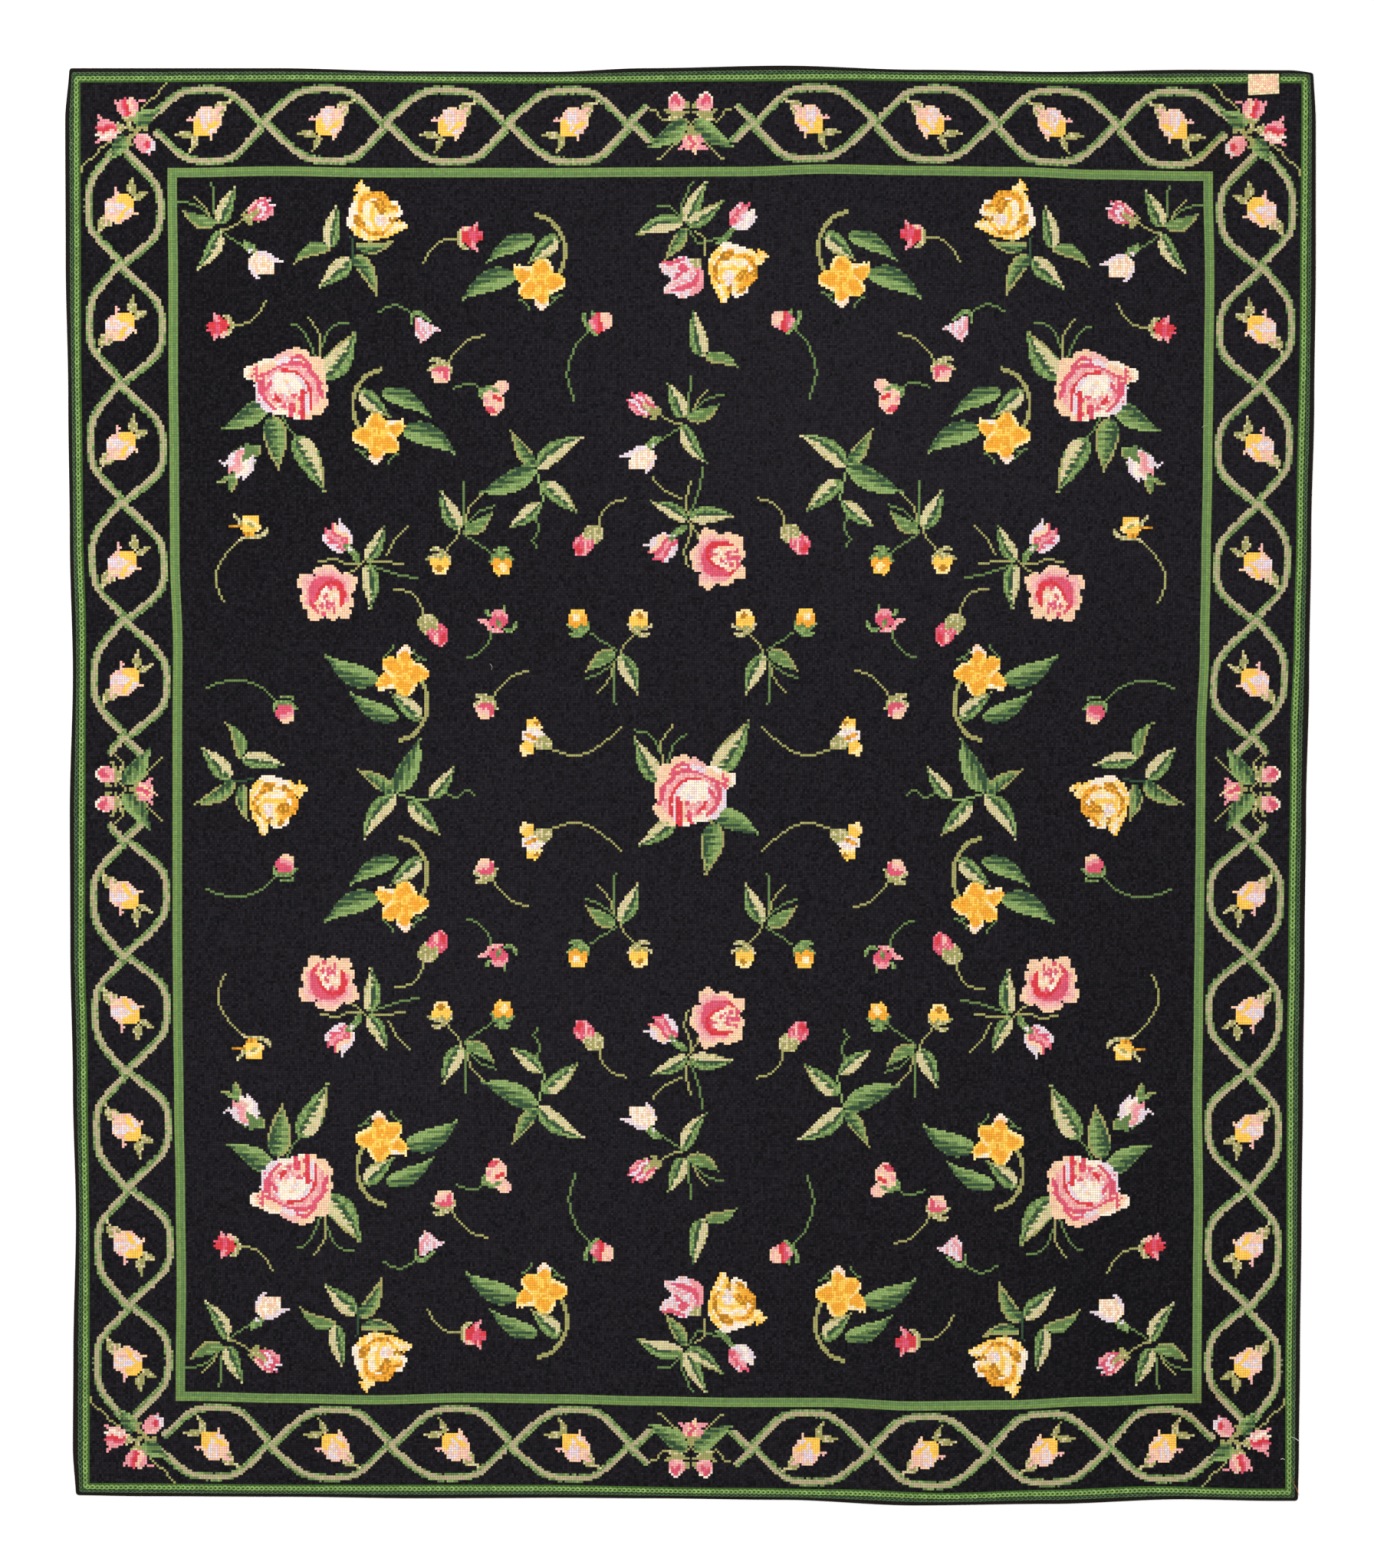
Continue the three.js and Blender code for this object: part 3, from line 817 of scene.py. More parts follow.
SIDE_CLUSTER = Motif("side cluster", (
    Stem(((-3.3, -3.2), (-9.4, -1.2), (-11.8, -0.7), (-13.4, -3), (-14.4, -4.8), (-17, -5.4)), OLIVE),
    Stem(((3.3, -3.2), (9.4, -1.2), (11.8, -0.7), (13.4, -3), (14.4, -4.8), (17, -5.4)), OLIVE),
    Stem(((-3.4, 5.6), (-5.8, 8), (-9.4, 10.6), (-10.6, 13.2), (-13.7, 15.2)), OLIVE),
    Stem(((3.4, 5.6), (5.8, 8), (9.4, 10.6), (10.6, 13.2), (13.7, 15.2)), OLIVE),
    Leaf((-2, -0.5), (-18, 10.4), 4.0, STREAKED, 0.8),
    Leaf((2, -0.5), (18, 10.4), 4.0, STREAKED, -0.8),
    Fold(((-9.2, -1.6), (-5.4, -2), (-3, -3.2)), PALE, 1.5),
    Fold(((9.2, -1.6), (5.4, -2), (3, -3.2)), PALE, 1.5),
    Petal((-6.3, -7.8), (4.5, 3.6), 104, BALL, 0.02),
    Fold(((-8.2, -8.8), (-6.8, -10), (-5.4, -7.6)), ROSE, 2.5),
    Petal((6.1, -7.8), (4.5, 3.6), 76, BALL, 0.02),
    Fold(((8, -8.8), (6.6, -10), (5.2, -7.6)), ROSE, 2.5),
    Fold(((-11.6, -5.6), (-9.6, -4.4), (-6.6, -3.5), (-1.2, -4.2)), OLIVE, 1.6),
    Fold(((11.6, -5.6), (9.6, -4.4), (6.6, -3.5), (1.2, -4.2)), OLIVE, 1.6),
    Fold(((-2.1, -8.4), (-1.4, -6.2)), OLIVE, 1.7),
    Fold(((2.1, -8.4), (1.4, -6.2)), OLIVE, 1.7),
    Stem(((-2.2, -1.6), (0, 1.4), (2.2, -1.6)), OLIVE),
    Bud((0.9, 7.4), -90, 8.2, 8.2, BELL, None, 0),
    Fold(((-3, 9), (-4.8, 11.4)), PINK, 1.4),
    Fold(((0.8, 10.4), (1.3, 11.8), (2.3, 12.8)), PEACH, 1.3),
    Fold(((4.2, 9.8), (6.8, 11.4)), PINK, 1.4),
    Patch(((-1.6, 3.6), (-1.2, 1.4), (1.2, 1.4), (1.6, 3.6), (4.4, 4.6), (4.6, 5.4), (0.4, 4.9), (-3.4, 5.6),
           (-3.2, 4.4)), OLIVE),
))

LINK_BUD = Motif("link bud", (
    Leaf((-6.0, 4.2), (-13.8, 4.0), 1.8, SMALL, -0.4),
    Leaf((-4.2, 4.4), (-7.8, 10.8), 1.5, SMALL, 0.0),
    Patch(((2.5, -7.6), (4.4, -9.8), (7.9, -9.8), (8.0, -7.2), (6.6, -4.2), (4.0, -4.6)), OLIVE + PALE),
    Fold(((8.2, -8.9), (9.4, -9.8), (10.6, -10.4)), PALE, 1.1),
    Patch(((-6.2, -1.3), (-5.6, 3.8), (-1.6, 4.2), (1.6, 4.2), (4.0, 2.2), (6.0, -0.8), (5.8, -3.2),
           (4.2, -6.2), (0.6, -7.4), (-2.6, -7.2), (-5.0, -4.6)), PEACH + BLUSH + PEACH),
    Patch(((-2.6, -6.8), (-3.6, -3.6), (-2.4, 1.4), (-0.4, 1.6), (0.8, -2.0), (0.8, -6.6)),
          MAUVE + PEACH + MAUVE),
    Patch(((-6.2, -1.0), (-5.8, 3.6), (-3.0, 4.4), (-1.8, 3.0), (-2.6, -0.6), (-3.6, -2.6)), YELLOW),
    Fold(((-2.4, 3.8), (-0.4, 3.0), (1.4, 0.4), (4.4, -1.4)), YELLOW, 2.2),
    Fold(((0.2, 3.2), (2.2, 1.6)), MAUVE, 1.6),
    Fold(((4.6, -6.6), (6.2, -7.0)), BLUSH, 1.6),
    Fold(((-6.2, -2.4), (-9.2, -2.6)), BLUSH, 1.2),
    Fold(((1.6, 4.2), (1.7, 6.0)), PEACH, 1.2),
))

LONG_LINK = Motif("chain link", (Link(),))
CORNER_LINK = Motif("chain link at the corner", (Link(49.5, start=-20.8, end=24.75),))
LAST_LINK = Motif("chain ends at the side cluster", (Link(end=-18.4),))
LEVEL_LINK = Motif("chain link of the long borders", (Link(50.6, 15.2, -25.3, 25.3, 2.3),))
LEVEL_CORNER_LINK = Motif("chain link of the long borders at the corner",
                          (Link(50.6, 15.2, -22.6, 25.3, 1.6),))
LEVEL_LAST_LINK = Motif("chain of the long borders ends", (Link(50.6, 15.2, -25.3, -17.8, 2.3),))

RED_BUD_ONE = Motif("red bud on an olive stem", (
    Stem(((4, -1), (11.5, -1.5), (15.5, -4.5), (19.3, -11)), OLIVE),
    Petal((-0.6, 0), (4.6, 4.4), 195, 2 * RED + ROSE + RED, 0.2),
    Fold(((-1.2, -2.6), (-3.2, -6)), PINK, 1.6),
    Fold(((-3.6, 1), (-5.8, 1.4)), ROSE, 1.2),
    Fold(((-1.8, 3), (-3.2, 5.6)), PINK, 1.5),
    Fold(((0, 3.8), (3, 2.8)), PINK + PEACH, 2.0),
    Fold(((1, -5), (3.4, -3.6), (4.4, -0.4), (3.6, 3)), PALE, 2.0),
))

BELL_BUD = Motif("bell bud", (
    Stem(((-20, -7.5), (-13, -10.5), (-6, -7), (-4, -5))),
    Patch(((-4.8, -5.6), (-2, -4.6), (1.4, -2.4), (6.6, 0.2), (2.8, 1.6), (-0.6, 4.6), (-4.2, 3), (-5, -2)),
          MAUVE + PINK + MAUVE),
    Fold(((-4.4, -5), (-3.4, 0), (-1, 3)), PINK, 1.6),
    Fold(((-2, 3.6), (-2.2, 5.6)), BLUSH, 1.2),
    Fold(((-6.4, -2.4), (-5.6, -6.6), (-1.6, -6.4), (1.6, -3.4)), SEPAL, 2.0),
))

ROUND_BUD = Motif("round bud", (
    Stem(((-5.5, 3.5), (-10.5, 10), (-14, 22), (-11, 33))),
    Petal((-0.6, -0.2), (4.4, 4.2), 5, PINK + ROSE + RED + PINK),
    Patch(((0.4, -4), (4.4, -4.2), (4.8, 1.4), (2, 1.6), (0.2, -1)), PEACH + BLUSH),
    Fold(((-7.2, -4.4), (-6.4, -0.6), (-4.4, 2.6), (-1.6, 5)), SEPAL, 2.0),
    Fold(((-3.2, -5), (-3, -2.6)), SEPAL, 1.3),
))

PINK_BUD_ONE = Motif("pink bud on an arched stem", (
    Stem(((3, -5), (6, -10), (12, -14.6), (18, -16.5)), OLIVE),
    Petal((0, -0.4), (4.4, 4.2), -95, 2 * ROSE + BLUSH + PEACH),
    Fold(((2, -0.6), (2.6, 2.4)), ROSE, 1.8),
    Fold(((-4.4, -6), (-1, -6.4), (2, -5.2)), PALE, 1.5),
    Fold(((-5.2, -1.8), (-2, -3.8), (3, -3.8), (4.8, -0.6)), PALE, 1.7),
))

BALL_BUD = Motif("drooping ball bud", (
    Stem(((-17, -4.5), (-10, -6.5), (-5, -4))),
    Patch(((-5, -3), (-0.5, -5.6), (2, -8), (5.6, -7.4), (5.8, -3.6), (3.6, -1.6), (4.6, 2), (2, 6.4),
           (-1.6, 6.8), (-4, 3.4), (-5.4, 0)), BLUSH + PEACH),
    Fold(((-0.6, -1.2), (3, 0.4)), RED, 1.8),
    Fold(((-3.6, 4), (1, 6)), RED + ROSE, 2.2),
    Fold(((-4, -0.6), (-3, 2)), PINK, 1.4),
    Fold(((-5.4, 0), (-5.2, -3.4), (-2, -4.4), (1.4, -3.4)), SEPAL, 2.0),
))

BROAD_CALYX_BUD = Motif("bud in a broad calyx", (
    Stem(((4.5, -6), (6, -13), (11, -17), (16.5, -18.5)), OLIVE),
    Patch(((-5.8, -0.6), (-2, -3.4), (3, -0.6), (1.6, 3.4), (-1.4, 5.8), (-5, 5.4)), ROSE + PINK + ROSE),
    Fold(((-4.2, 1.6), (-3.6, 4.6)), RED, 2.2),
    Fold(((-1, 0.6), (-0.6, 4.6)), BLUSH, 1.5),
    Patch(((-1.8, -4.8), (1.4, -7.4), (6, -6.8), (6.8, -3), (4, 1.2), (1.8, -1.4), (-1.4, -1)), PALE),
))

TULIP_BUD = Motif("red tulip bud", (
    Stem(((-3, 5), (-4.5, 10.5), (-8, 14), (-13, 16.5))),
    Petal((0.4, -0.4), (4.4, 4), 80, 2 * ROSE + PINK),
    Fold(((-8, 0.4), (-5.2, 1), (-3.4, 3.8), (1.6, 5)), BLUSH + PINK, 1.9),
    Fold(((-5.6, -4.2), (-3, -1.4)), SEPAL, 1.4),
    Fold(((2.2, -3.6), (3, -5.8)), SEPAL, 1.3),
    Fold(((0, 0.2), (0.6, 2.8)), SEPAL, 1.8),
    Fold(((3, 4.4), (6.2, 4.2), (7.8, 1.4)), SEPAL, 1.6),
))

SMALL_YELLOW = Motif("small yellow flower", (
    Stem(((-4.5, 6), (-11, 13.5), (-14, 19.5), (-13.5, 27.5), (-11.5, 31.5)), OLIVE),
    Fold(((-6.6, -5.4), (-4, -2.6), (-3, 1)), PALE, 1.6),
    Fold(((-4.6, 6), (-1, 4.4), (3, 4.2), (6.8, 3.2), (7.4, 0.8)), PALE, 1.8),
    Petal((0.8, -0.8), (4.4, 4.2), 60, 2 * YELLOW + BUTTER + YELLOW, 0.2),
    Fold(((-8.2, -0.6), (-3.4, 0)), GOLD + BROWN, 1.6),
    Fold(((-2.6, 2.4), (1.6, 3.6)), BROWN + GOLD, 2.0),
    Fold(((0, -1), (1.6, -0.4)), OLIVE, 1.3),
))

LOW_RED_BUD = Motif("red bud at the end of a long stem", (
    Stem(((-3.5, -5), (-10, -10.5), (-21.5, -14), (-33.5, -11))),
    Petal((0, 0.4), (4.6, 4.0), -75, 2 * ROSE + PINK + PEACH),
    Fold(((-2.8, -0.6), (-3, 2.6)), ROSE, 1.8),
    Fold(((-1.6, -6.4), (1, -6.8), (3.4, -6)), SEPAL, 1.4),
    Fold(((-5.2, -0.6), (-4, -3.4), (1, -4.2), (5.2, -1.6)), SEPAL, 1.9),
))

LONG_STEM_YELLOW = Motif("yellow bud on a long stem", (
    Stem(((6.5, 4), (18, 7), (28, 3), (37.5, -5)), OLIVE),
    Petal((-0.4, -5.2), (3.8, 3.4), 95, YELLOW + BUTTER + YELLOW),
    Fold(((0.4, -7), (2, -6.6)), BROWN, 1.5),
    Patch(((-4.8, -3.4), (1, -4.6), (5, -1), (4, 3.4), (-1.6, 1.6), (-4.8, 0)), MAUVE + CREAM),
    Fold(((-3.6, -1.8), (0, -0.6), (2, 0.6)), AMBER, 1.8),
    Petal((-3.2, 3.8), (3.4, 3.2), 225, 2 * YELLOW + BUTTER),
    Patch(((2.6, -1.4), (6.6, -0.4), (7, 3.8), (1.6, 4.2), (0, 2.4)), PALE),
))


@dataclass(frozen=True)
class Pattern:
    """Where each motif goes: one quarter of the rug, then what stands on its middle lines."""

    frame_column: int = 43
    frame_row: int = 42
    quarter: tuple[tuple[Motif, tuple[Spot, ...]], ...] = (
        (TWO_BUD_SPRIG, (Spot(64.7, 67.1),)),
        (YELLOW_ROSE_SPRAY, (Spot(131.9, 61.0),)),
        (PINK_ROSE_SPRAY, (Spot(93.8, 134.3),)),
        (CABBAGE_ROSE, (Spot(93.8, 134.3),)),
        (DAFFODIL, (Spot(201.9, 91.1), Spot(131.4, 157.2, flip_across=True),
                    Spot(142.4, 258.0, flip_down=True))),
        (LEAF_GROUP, (Spot(198.8, 170.7),)),
        (YELLOW_BUD_SPRIG, (Spot(167.2, 196.8), Spot(234.5, 250.5, True, True))),
        (OPEN_ROSE_SPRAY, (Spot(125.9, 211.4),)),
        (OPEN_ROSE, (Spot(109.9, 223.6),)),
        (RED_BUD_ONE, (Spot(65.2, 110.2), Spot(171.2, 71.3, True, True))),
        (BELL_BUD, (Spot(152.7, 111.2),)),
        (ROUND_BUD, (Spot(226.9, 108.5),)),
        (PINK_BUD_ONE, (Spot(159.0, 130.3), Spot(177.3, 274.1))),
        (BALL_BUD, (Spot(181.8, 140.8),)),
        (BROAD_CALYX_BUD, (Spot(221.4, 202.3), Spot(155.2, 240.5, flip_across=True))),
        (TULIP_BUD, (Spot(182.8, 235.4),)),
        (SMALL_YELLOW, (Spot(76.7, 195.8),)),
        (LOW_RED_BUD, (Spot(91.3, 275.1),)),
        (LONG_STEM_YELLOW, (Spot(198.3, 286.6),)),
        (CORNER_LINK, (Spot(58.75, 24.7),)),
        (LONG_LINK, (Spot(109.6, 24.7), Spot(161.6, 24.7), Spot(213.5, 24.7))),
        (LAST_LINK, (Spot(265.5, 24.7),)),
        (LEVEL_CORNER_LINK, (Spot(25.1, 57.8, turned=True),)),
        (LEVEL_LINK, (Spot(25.5, 108.5, turned=True), Spot(25.5, 159.5, turned=True),
                      Spot(25.5, 210.1, turned=True), Spot(25.5, 260.3, turned=True))),
        (LEVEL_LAST_LINK, (Spot(25.5, 310.9, turned=True),)),
        (LINK_BUD, (Spot(60.1, 24.7), Spot(112.2, 24.7), Spot(164.2, 24.7), Spot(216.1, 24.7),
                    Spot(24.3, 59.6, turned=True), Spot(24.3, 110.3, turned=True),
                    Spot(24.3, 161.3, turned=True), Spot(24.3, 211.9, turned=True),
                    Spot(24.3, 262.1, turned=True))),
        (CORNER_CLUSTER, (Spot(27.4, 25.7),)),
    )
    upper_half: tuple[tuple[Motif, tuple[Spot, ...]], ...] = (
        (TOP_CENTRE_GROUP, (Spot(263.1, 66.6),)),
        (YELLOW_ROSE, (Spot(285.1, 87.1, flip_across=True, turned=True),)),
        (TWO_LEAVES, (Spot(271.1, 123.1),)),
        (TWO_BUD_SPRIG, (Spot(262.6, 150.2, flip_across=True),)),
        (OPEN_ROSE_SPRAY, (Spot(264.6, 193.3, flip_down=True, turned=True),)),
        (OPEN_ROSE, (Spot(276.8, 209.3, flip_down=True, turned=True),)),
        (SIDE_CLUSTER, (Spot(265.6, 23.6),)),
    )
    middle: tuple[tuple[Motif, tuple[Spot, ...]], ...] = (
        (CENTRE_ROSE_SPRAY, (Spot(266.4, 308.4),)),
        (CABBAGE_ROSE, (Spot(266.6, 308.4, flip_across=True),)),
        (YELLOW_ROSE_SPRAY, (Spot(87.8, 314.7, flip_across=True, turned=True),
                             Spot(443.8, 314.7, turned=True))),
        (LEAF_GROUP, (Spot(138.6, 309.4, turned=True), Spot(393.4, 309.4, flip_across=True, turned=True))),
        (SIDE_CLUSTER, (Spot(23.4, 308.0, turned=True), Spot(508.6, 308.0, flip_across=True, turned=True))),
    )

    def work(self) -> Chart:
        """Works the whole chart.

        Returns:
            The finished chart.
        """
        chart = Chart()
        self._work(chart, self.quarter)
        chart.mirror_across()
        self._work(chart, self.upper_half)
        chart.mirror_down()
        self._work(chart, self.middle)
        self._stripes(chart)
        return chart

    @staticmethod
    def _work(chart: Chart, places: tuple[tuple[Motif, tuple[Spot, ...]], ...]) -> None:
        """Works each motif at each of its spots."""
        for motif, spots in places:
            for spot in spots:
                motif.work(chart, spot)
            log.info("worked %s %d times", motif.name, len(spots))

    def _stripes(self, chart: Chart) -> None:
        """Works the stripes of the hem and the green stripe that frames the field."""
        columns = np.arange(chart.columns)
        rows = np.arange(chart.rows)[:, None]
        from_side = np.broadcast_to(np.minimum(columns, chart.columns - 1 - columns), chart.worked.shape)
        from_end = np.broadcast_to(np.minimum(rows, chart.rows - 1 - rows), chart.worked.shape)
        hem = np.minimum(from_side, from_end)
        # The two beds under the plaits are darkened as painted shade in the holes between the loops
        bands = ((range(0, 2), Wool.EDGE), (range(2, 4), Wool.HEM_BED), (range(4, 7), Wool.PLAIT_BED))
        for stitches, wool in bands:
            chart.worked[np.isin(hem, stitches)] = wool.place
        stripe = np.minimum(from_side - self.frame_column, from_end - self.frame_row)
        wools = (Wool.STRIPE_OUTER, Wool.STRIPE_YELLOW, Wool.STRIPE_BLUE, Wool.STRIPE_INNER)
        for stitch, wool in enumerate(wools):
            chart.worked[stripe == stitch] = wool.place


# The cloth as it lies, in millimetres from the rug's middle. Each row gives a height up the rug or a place
# across it, and then where the pair of lines that face each other lie there.
EDGES_UP = (
    (-1408, -1202, 1188), (-1306, -1208, 1190), (-1126, -1207, 1192), (-856, -1202, 1195),
    (-586, -1208, 1198), (-316, -1213, 1201), (-46, -1214, 1204), (224, -1208, 1210),
    (494, -1214, 1214), (764, -1217, 1220), (1034, -1222, 1223), (1304, -1223, 1223), (1408, -1215, 1218),
)
PLAITS_UP = (
    (-1163, -1184, 1172), (-953, -1184, 1174), (-533, -1188, 1175), (-323, -1193, 1178), (97, -1192, 1182),
    (307, -1191, 1189), (517, -1197, 1194), (937, -1201, 1201), (1357, -1202, 1204),
)
FRAMES_UP = (
    (-1163, -997, 990), (-983, -995, 991), (-803, -997, 993), (-623, -1000, 991), (-443, -1002, 993),
    (-263, -1003, 995), (-83, -1003, 997), (97, -1003, 998), (277, -1002, 1005), (457, -1008, 1008),
    (637, -1009, 1011), (817, -1011, 1013), (997, -1011, 1015), (1177, -1013, 1012),
)
EDGES_ACROSS = (
    (-1223, -1388, 1403), (-1081, -1390, 1403), (-811, -1391, 1403), (-541, -1394, 1397),
    (-271, -1393, 1396), (-91, -1394, 1403), (179, -1397, 1408), (449, -1408, 1400), (719, -1405, 1396),
    (989, -1396, 1400), (1169, -1399, 1399), (1223, -1399, 1394),
)
PLAITS_ACROSS = (
    (-1171, -1373, 1384), (-751, -1376, 1386), (-331, -1376, 1382), (89, -1382, 1386), (299, -1385, 1388),
    (509, -1392, 1386), (719, -1386, 1382), (929, -1379, 1381), (1139, -1384, 1383),
)
FRAMES_ACROSS = (
    (-991, -1194, 1198), (-811, -1198, 1201), (-631, -1201, 1198), (-451, -1197, 1198), (-271, -1199, 1198),
    (-91, -1203, 1199), (89, -1206, 1200), (269, -1206, 1205), (449, -1213, 1202), (629, -1211, 1200),
    (809, -1204, 1194), (989, -1198, 1191),
)
MIDDLE = (3.0, -7.4)

# Pressed creases: where each straight one lies and how far it rises, then the slanting ones' ends and rise
UPRIGHT_CREASES = ((-394, 0.9), (133, 0.9), (407, 2.0))
LEVEL_CREASES = ((-683, 0.9), (-28, 1.0), (520, 1.1))
SLANT_CREASES = (
    ((715, 1117), (1022, 1066), 1.5), ((1022, 1066), (1205, 985), 1.3), ((-983, 197), (-655, 208), 1.1),
    ((310, -161), (316, -467), 1.3), ((-328, 862), (-83, 940), 1.0),
)


@dataclass(frozen=True)
class Cloth:
    """Lays the chart on the floor: the wavy outline, the rolled hem and the creases, all in millimetres."""

    columns: int = COLUMNS
    rows: int = ROWS
    stitch_across: float = 4.6
    stitch_down: float = 4.57
    thickness: float = 5.0
    hem_roll: float = 5.0
    hem_foot: float = 1.8
    corner: float = 9.0
    crease_half: float = 8.0
    slant_half: float = 48.0
    calm_reach: float = 85.0
    plait_line: float = 5.0
    frame_lines: Point = (45.0, 44.0)

    def lay(self, across: Array, down: Array) -> Array:
        """Finds where points of the chart lie.

        Args:
            across: stitches from the left edge.
            down: stitches from the top edge.

        Returns:
            One row of x, y and height for each point.
        """
        across, down, from_edge = self._round_corners(across, down)
        level_x = (across / self.columns - 0.5) * self.columns * self.stitch_across
        level_y = (0.5 - down / self.rows) * self.rows * self.stitch_down
        sides = [self._read(table, level_y) for table in (EDGES_UP, PLAITS_UP, FRAMES_UP)]
        ends = [self._read(table, level_x) for table in (EDGES_ACROSS, PLAITS_ACROSS, FRAMES_ACROSS)]
        middle_x = np.full(across.shape, MIDDLE[0])
        middle_y = np.full(down.shape, MIDDLE[1])
        x = self._between(across, self.columns, self.frame_lines[0],
                          [side[0] for side in sides] + [middle_x] + [side[1] for side in reversed(sides)])
        y = self._between(down, self.rows, self.frame_lines[1],
                          [end[1] for end in ends] + [middle_y] + [end[0] for end in reversed(ends)])
        inward = 1 - np.clip(from_edge / self.hem_roll, 0, 1)
        hem = self.hem_foot + (self.thickness - self.hem_foot) * np.sqrt(1 - inward ** 2)
        calm = np.clip((from_edge - self.hem_roll) / self.calm_reach, 0, 1)
        height = hem + ease(calm) * self._creases(x, y)
        return np.column_stack([x, y, height])

    def _round_corners(self, across: Array, down: Array) -> tuple[Array, Array, Array]:
        """Bends the points near the four corners in to round ones.

        Returns:
            The bent stitches across and down, and each point's distance from the edge in millimetres.
        """
        right = across > self.columns / 2
        low = down > self.rows / 2
        sideways = np.where(right, self.columns - across, across) * self.stitch_across
        endways = np.where(low, self.rows - down, down) * self.stitch_down
        a = np.clip(1 - sideways / self.corner, 0, 1)
        b = np.clip(1 - endways / self.corner, 0, 1)
        round_a = a * np.sqrt(1 - b * b / 2)
        round_b = b * np.sqrt(1 - a * a / 2)
        near = (a > 0) & (b > 0)
        rounded = self.corner * (1 - np.hypot(round_a, round_b))
        from_edge = np.where(near, rounded, np.minimum(sideways, endways))
        sideways = np.where(near, self.corner * (1 - round_a), sideways) / self.stitch_across
        endways = np.where(near, self.corner * (1 - round_b), endways) / self.stitch_down
        across = np.where(right, self.columns - sideways, sideways)
        down = np.where(low, self.rows - endways, endways)
        return across, down, from_edge

    @staticmethod
    def _read(table: Sequence[tuple[float, ...]], at: Array) -> tuple[Array, Array]:
        """Reads both lines of a table, easing from one row to the next."""
        rows = np.array(table, float)
        place = np.clip(np.interp(at, rows[:, 0], np.arange(len(rows))), 0, len(rows) - 1.000001)
        row = place.astype(int)
        eased = ease(place - row)
        return tuple(rows[row, k] + (rows[row + 1, k] - rows[row, k]) * eased for k in (1, 2))

    def _between(self, at: Array, total: float, frame: float, places: list[Array]) -> Array:
        """Spaces the stitches evenly between the seven lines that the cloth keeps to.

        Args:
            at: stitches from the first edge.
            total: stitches from edge to edge.
            frame: stitches from an edge to the middle of the framing stripe.
            places: where the seven lines lie at each point.

        Returns:
            Where each point lies.
        """
        lines = (0.0, self.plait_line, frame, total / 2, total - frame, total - self.plait_line, total)
        found = places[0].copy()
        for first, last, low, high in zip(lines, lines[1:], places, places[1:]):
            here = at >= first
            found[here] = (low + (high - low) * (at - first) / (last - first))[here]
        return found

    def _creases(self, x: Array, y: Array) -> Array:
        """How far the creases lift the cloth at each point."""
        rise = np.zeros(x.shape)
        for at, height in UPRIGHT_CREASES:
            rise += height * np.exp(-((x - at) / self.crease_half) ** 2)
        for at, height in LEVEL_CREASES:
            rise += height * np.exp(-((y - at) / self.crease_half) ** 2)
        for (x0, y0), (x1, y1), height in SLANT_CREASES:
            run_x, run_y = x1 - x0, y1 - y0
            share = np.clip(((x - x0) * run_x + (y - y0) * run_y) / (run_x ** 2 + run_y ** 2), 0, 1)
            away = np.hypot(x - x0 - share * run_x, y - y0 - share * run_y)
            rise += height * np.exp(-(away / self.slant_half) ** 2)
        return rise


@dataclass(frozen=True)
class Tone:
    """A broad part of the cloth made lighter or darker: its middle, its half size in millimetres, its gain.
    On the ground a gain above nought is painted light, one below nought painted shade.
    """

    middle: Point
    half: Point
    gain: float

    def share(self, x: Array, y: Array) -> Array:
        """How much of the gain reaches each place."""
        away = ((x - self.middle[0]) / self.half[0]) ** 2 + ((y - self.middle[1]) / self.half[1]) ** 2
        return self.gain * np.exp(-away)


@dataclass(frozen=True)
class Stain(Tone):
    """A faint stain on the wool, whose gain is how strong its tint is."""

    tint: str


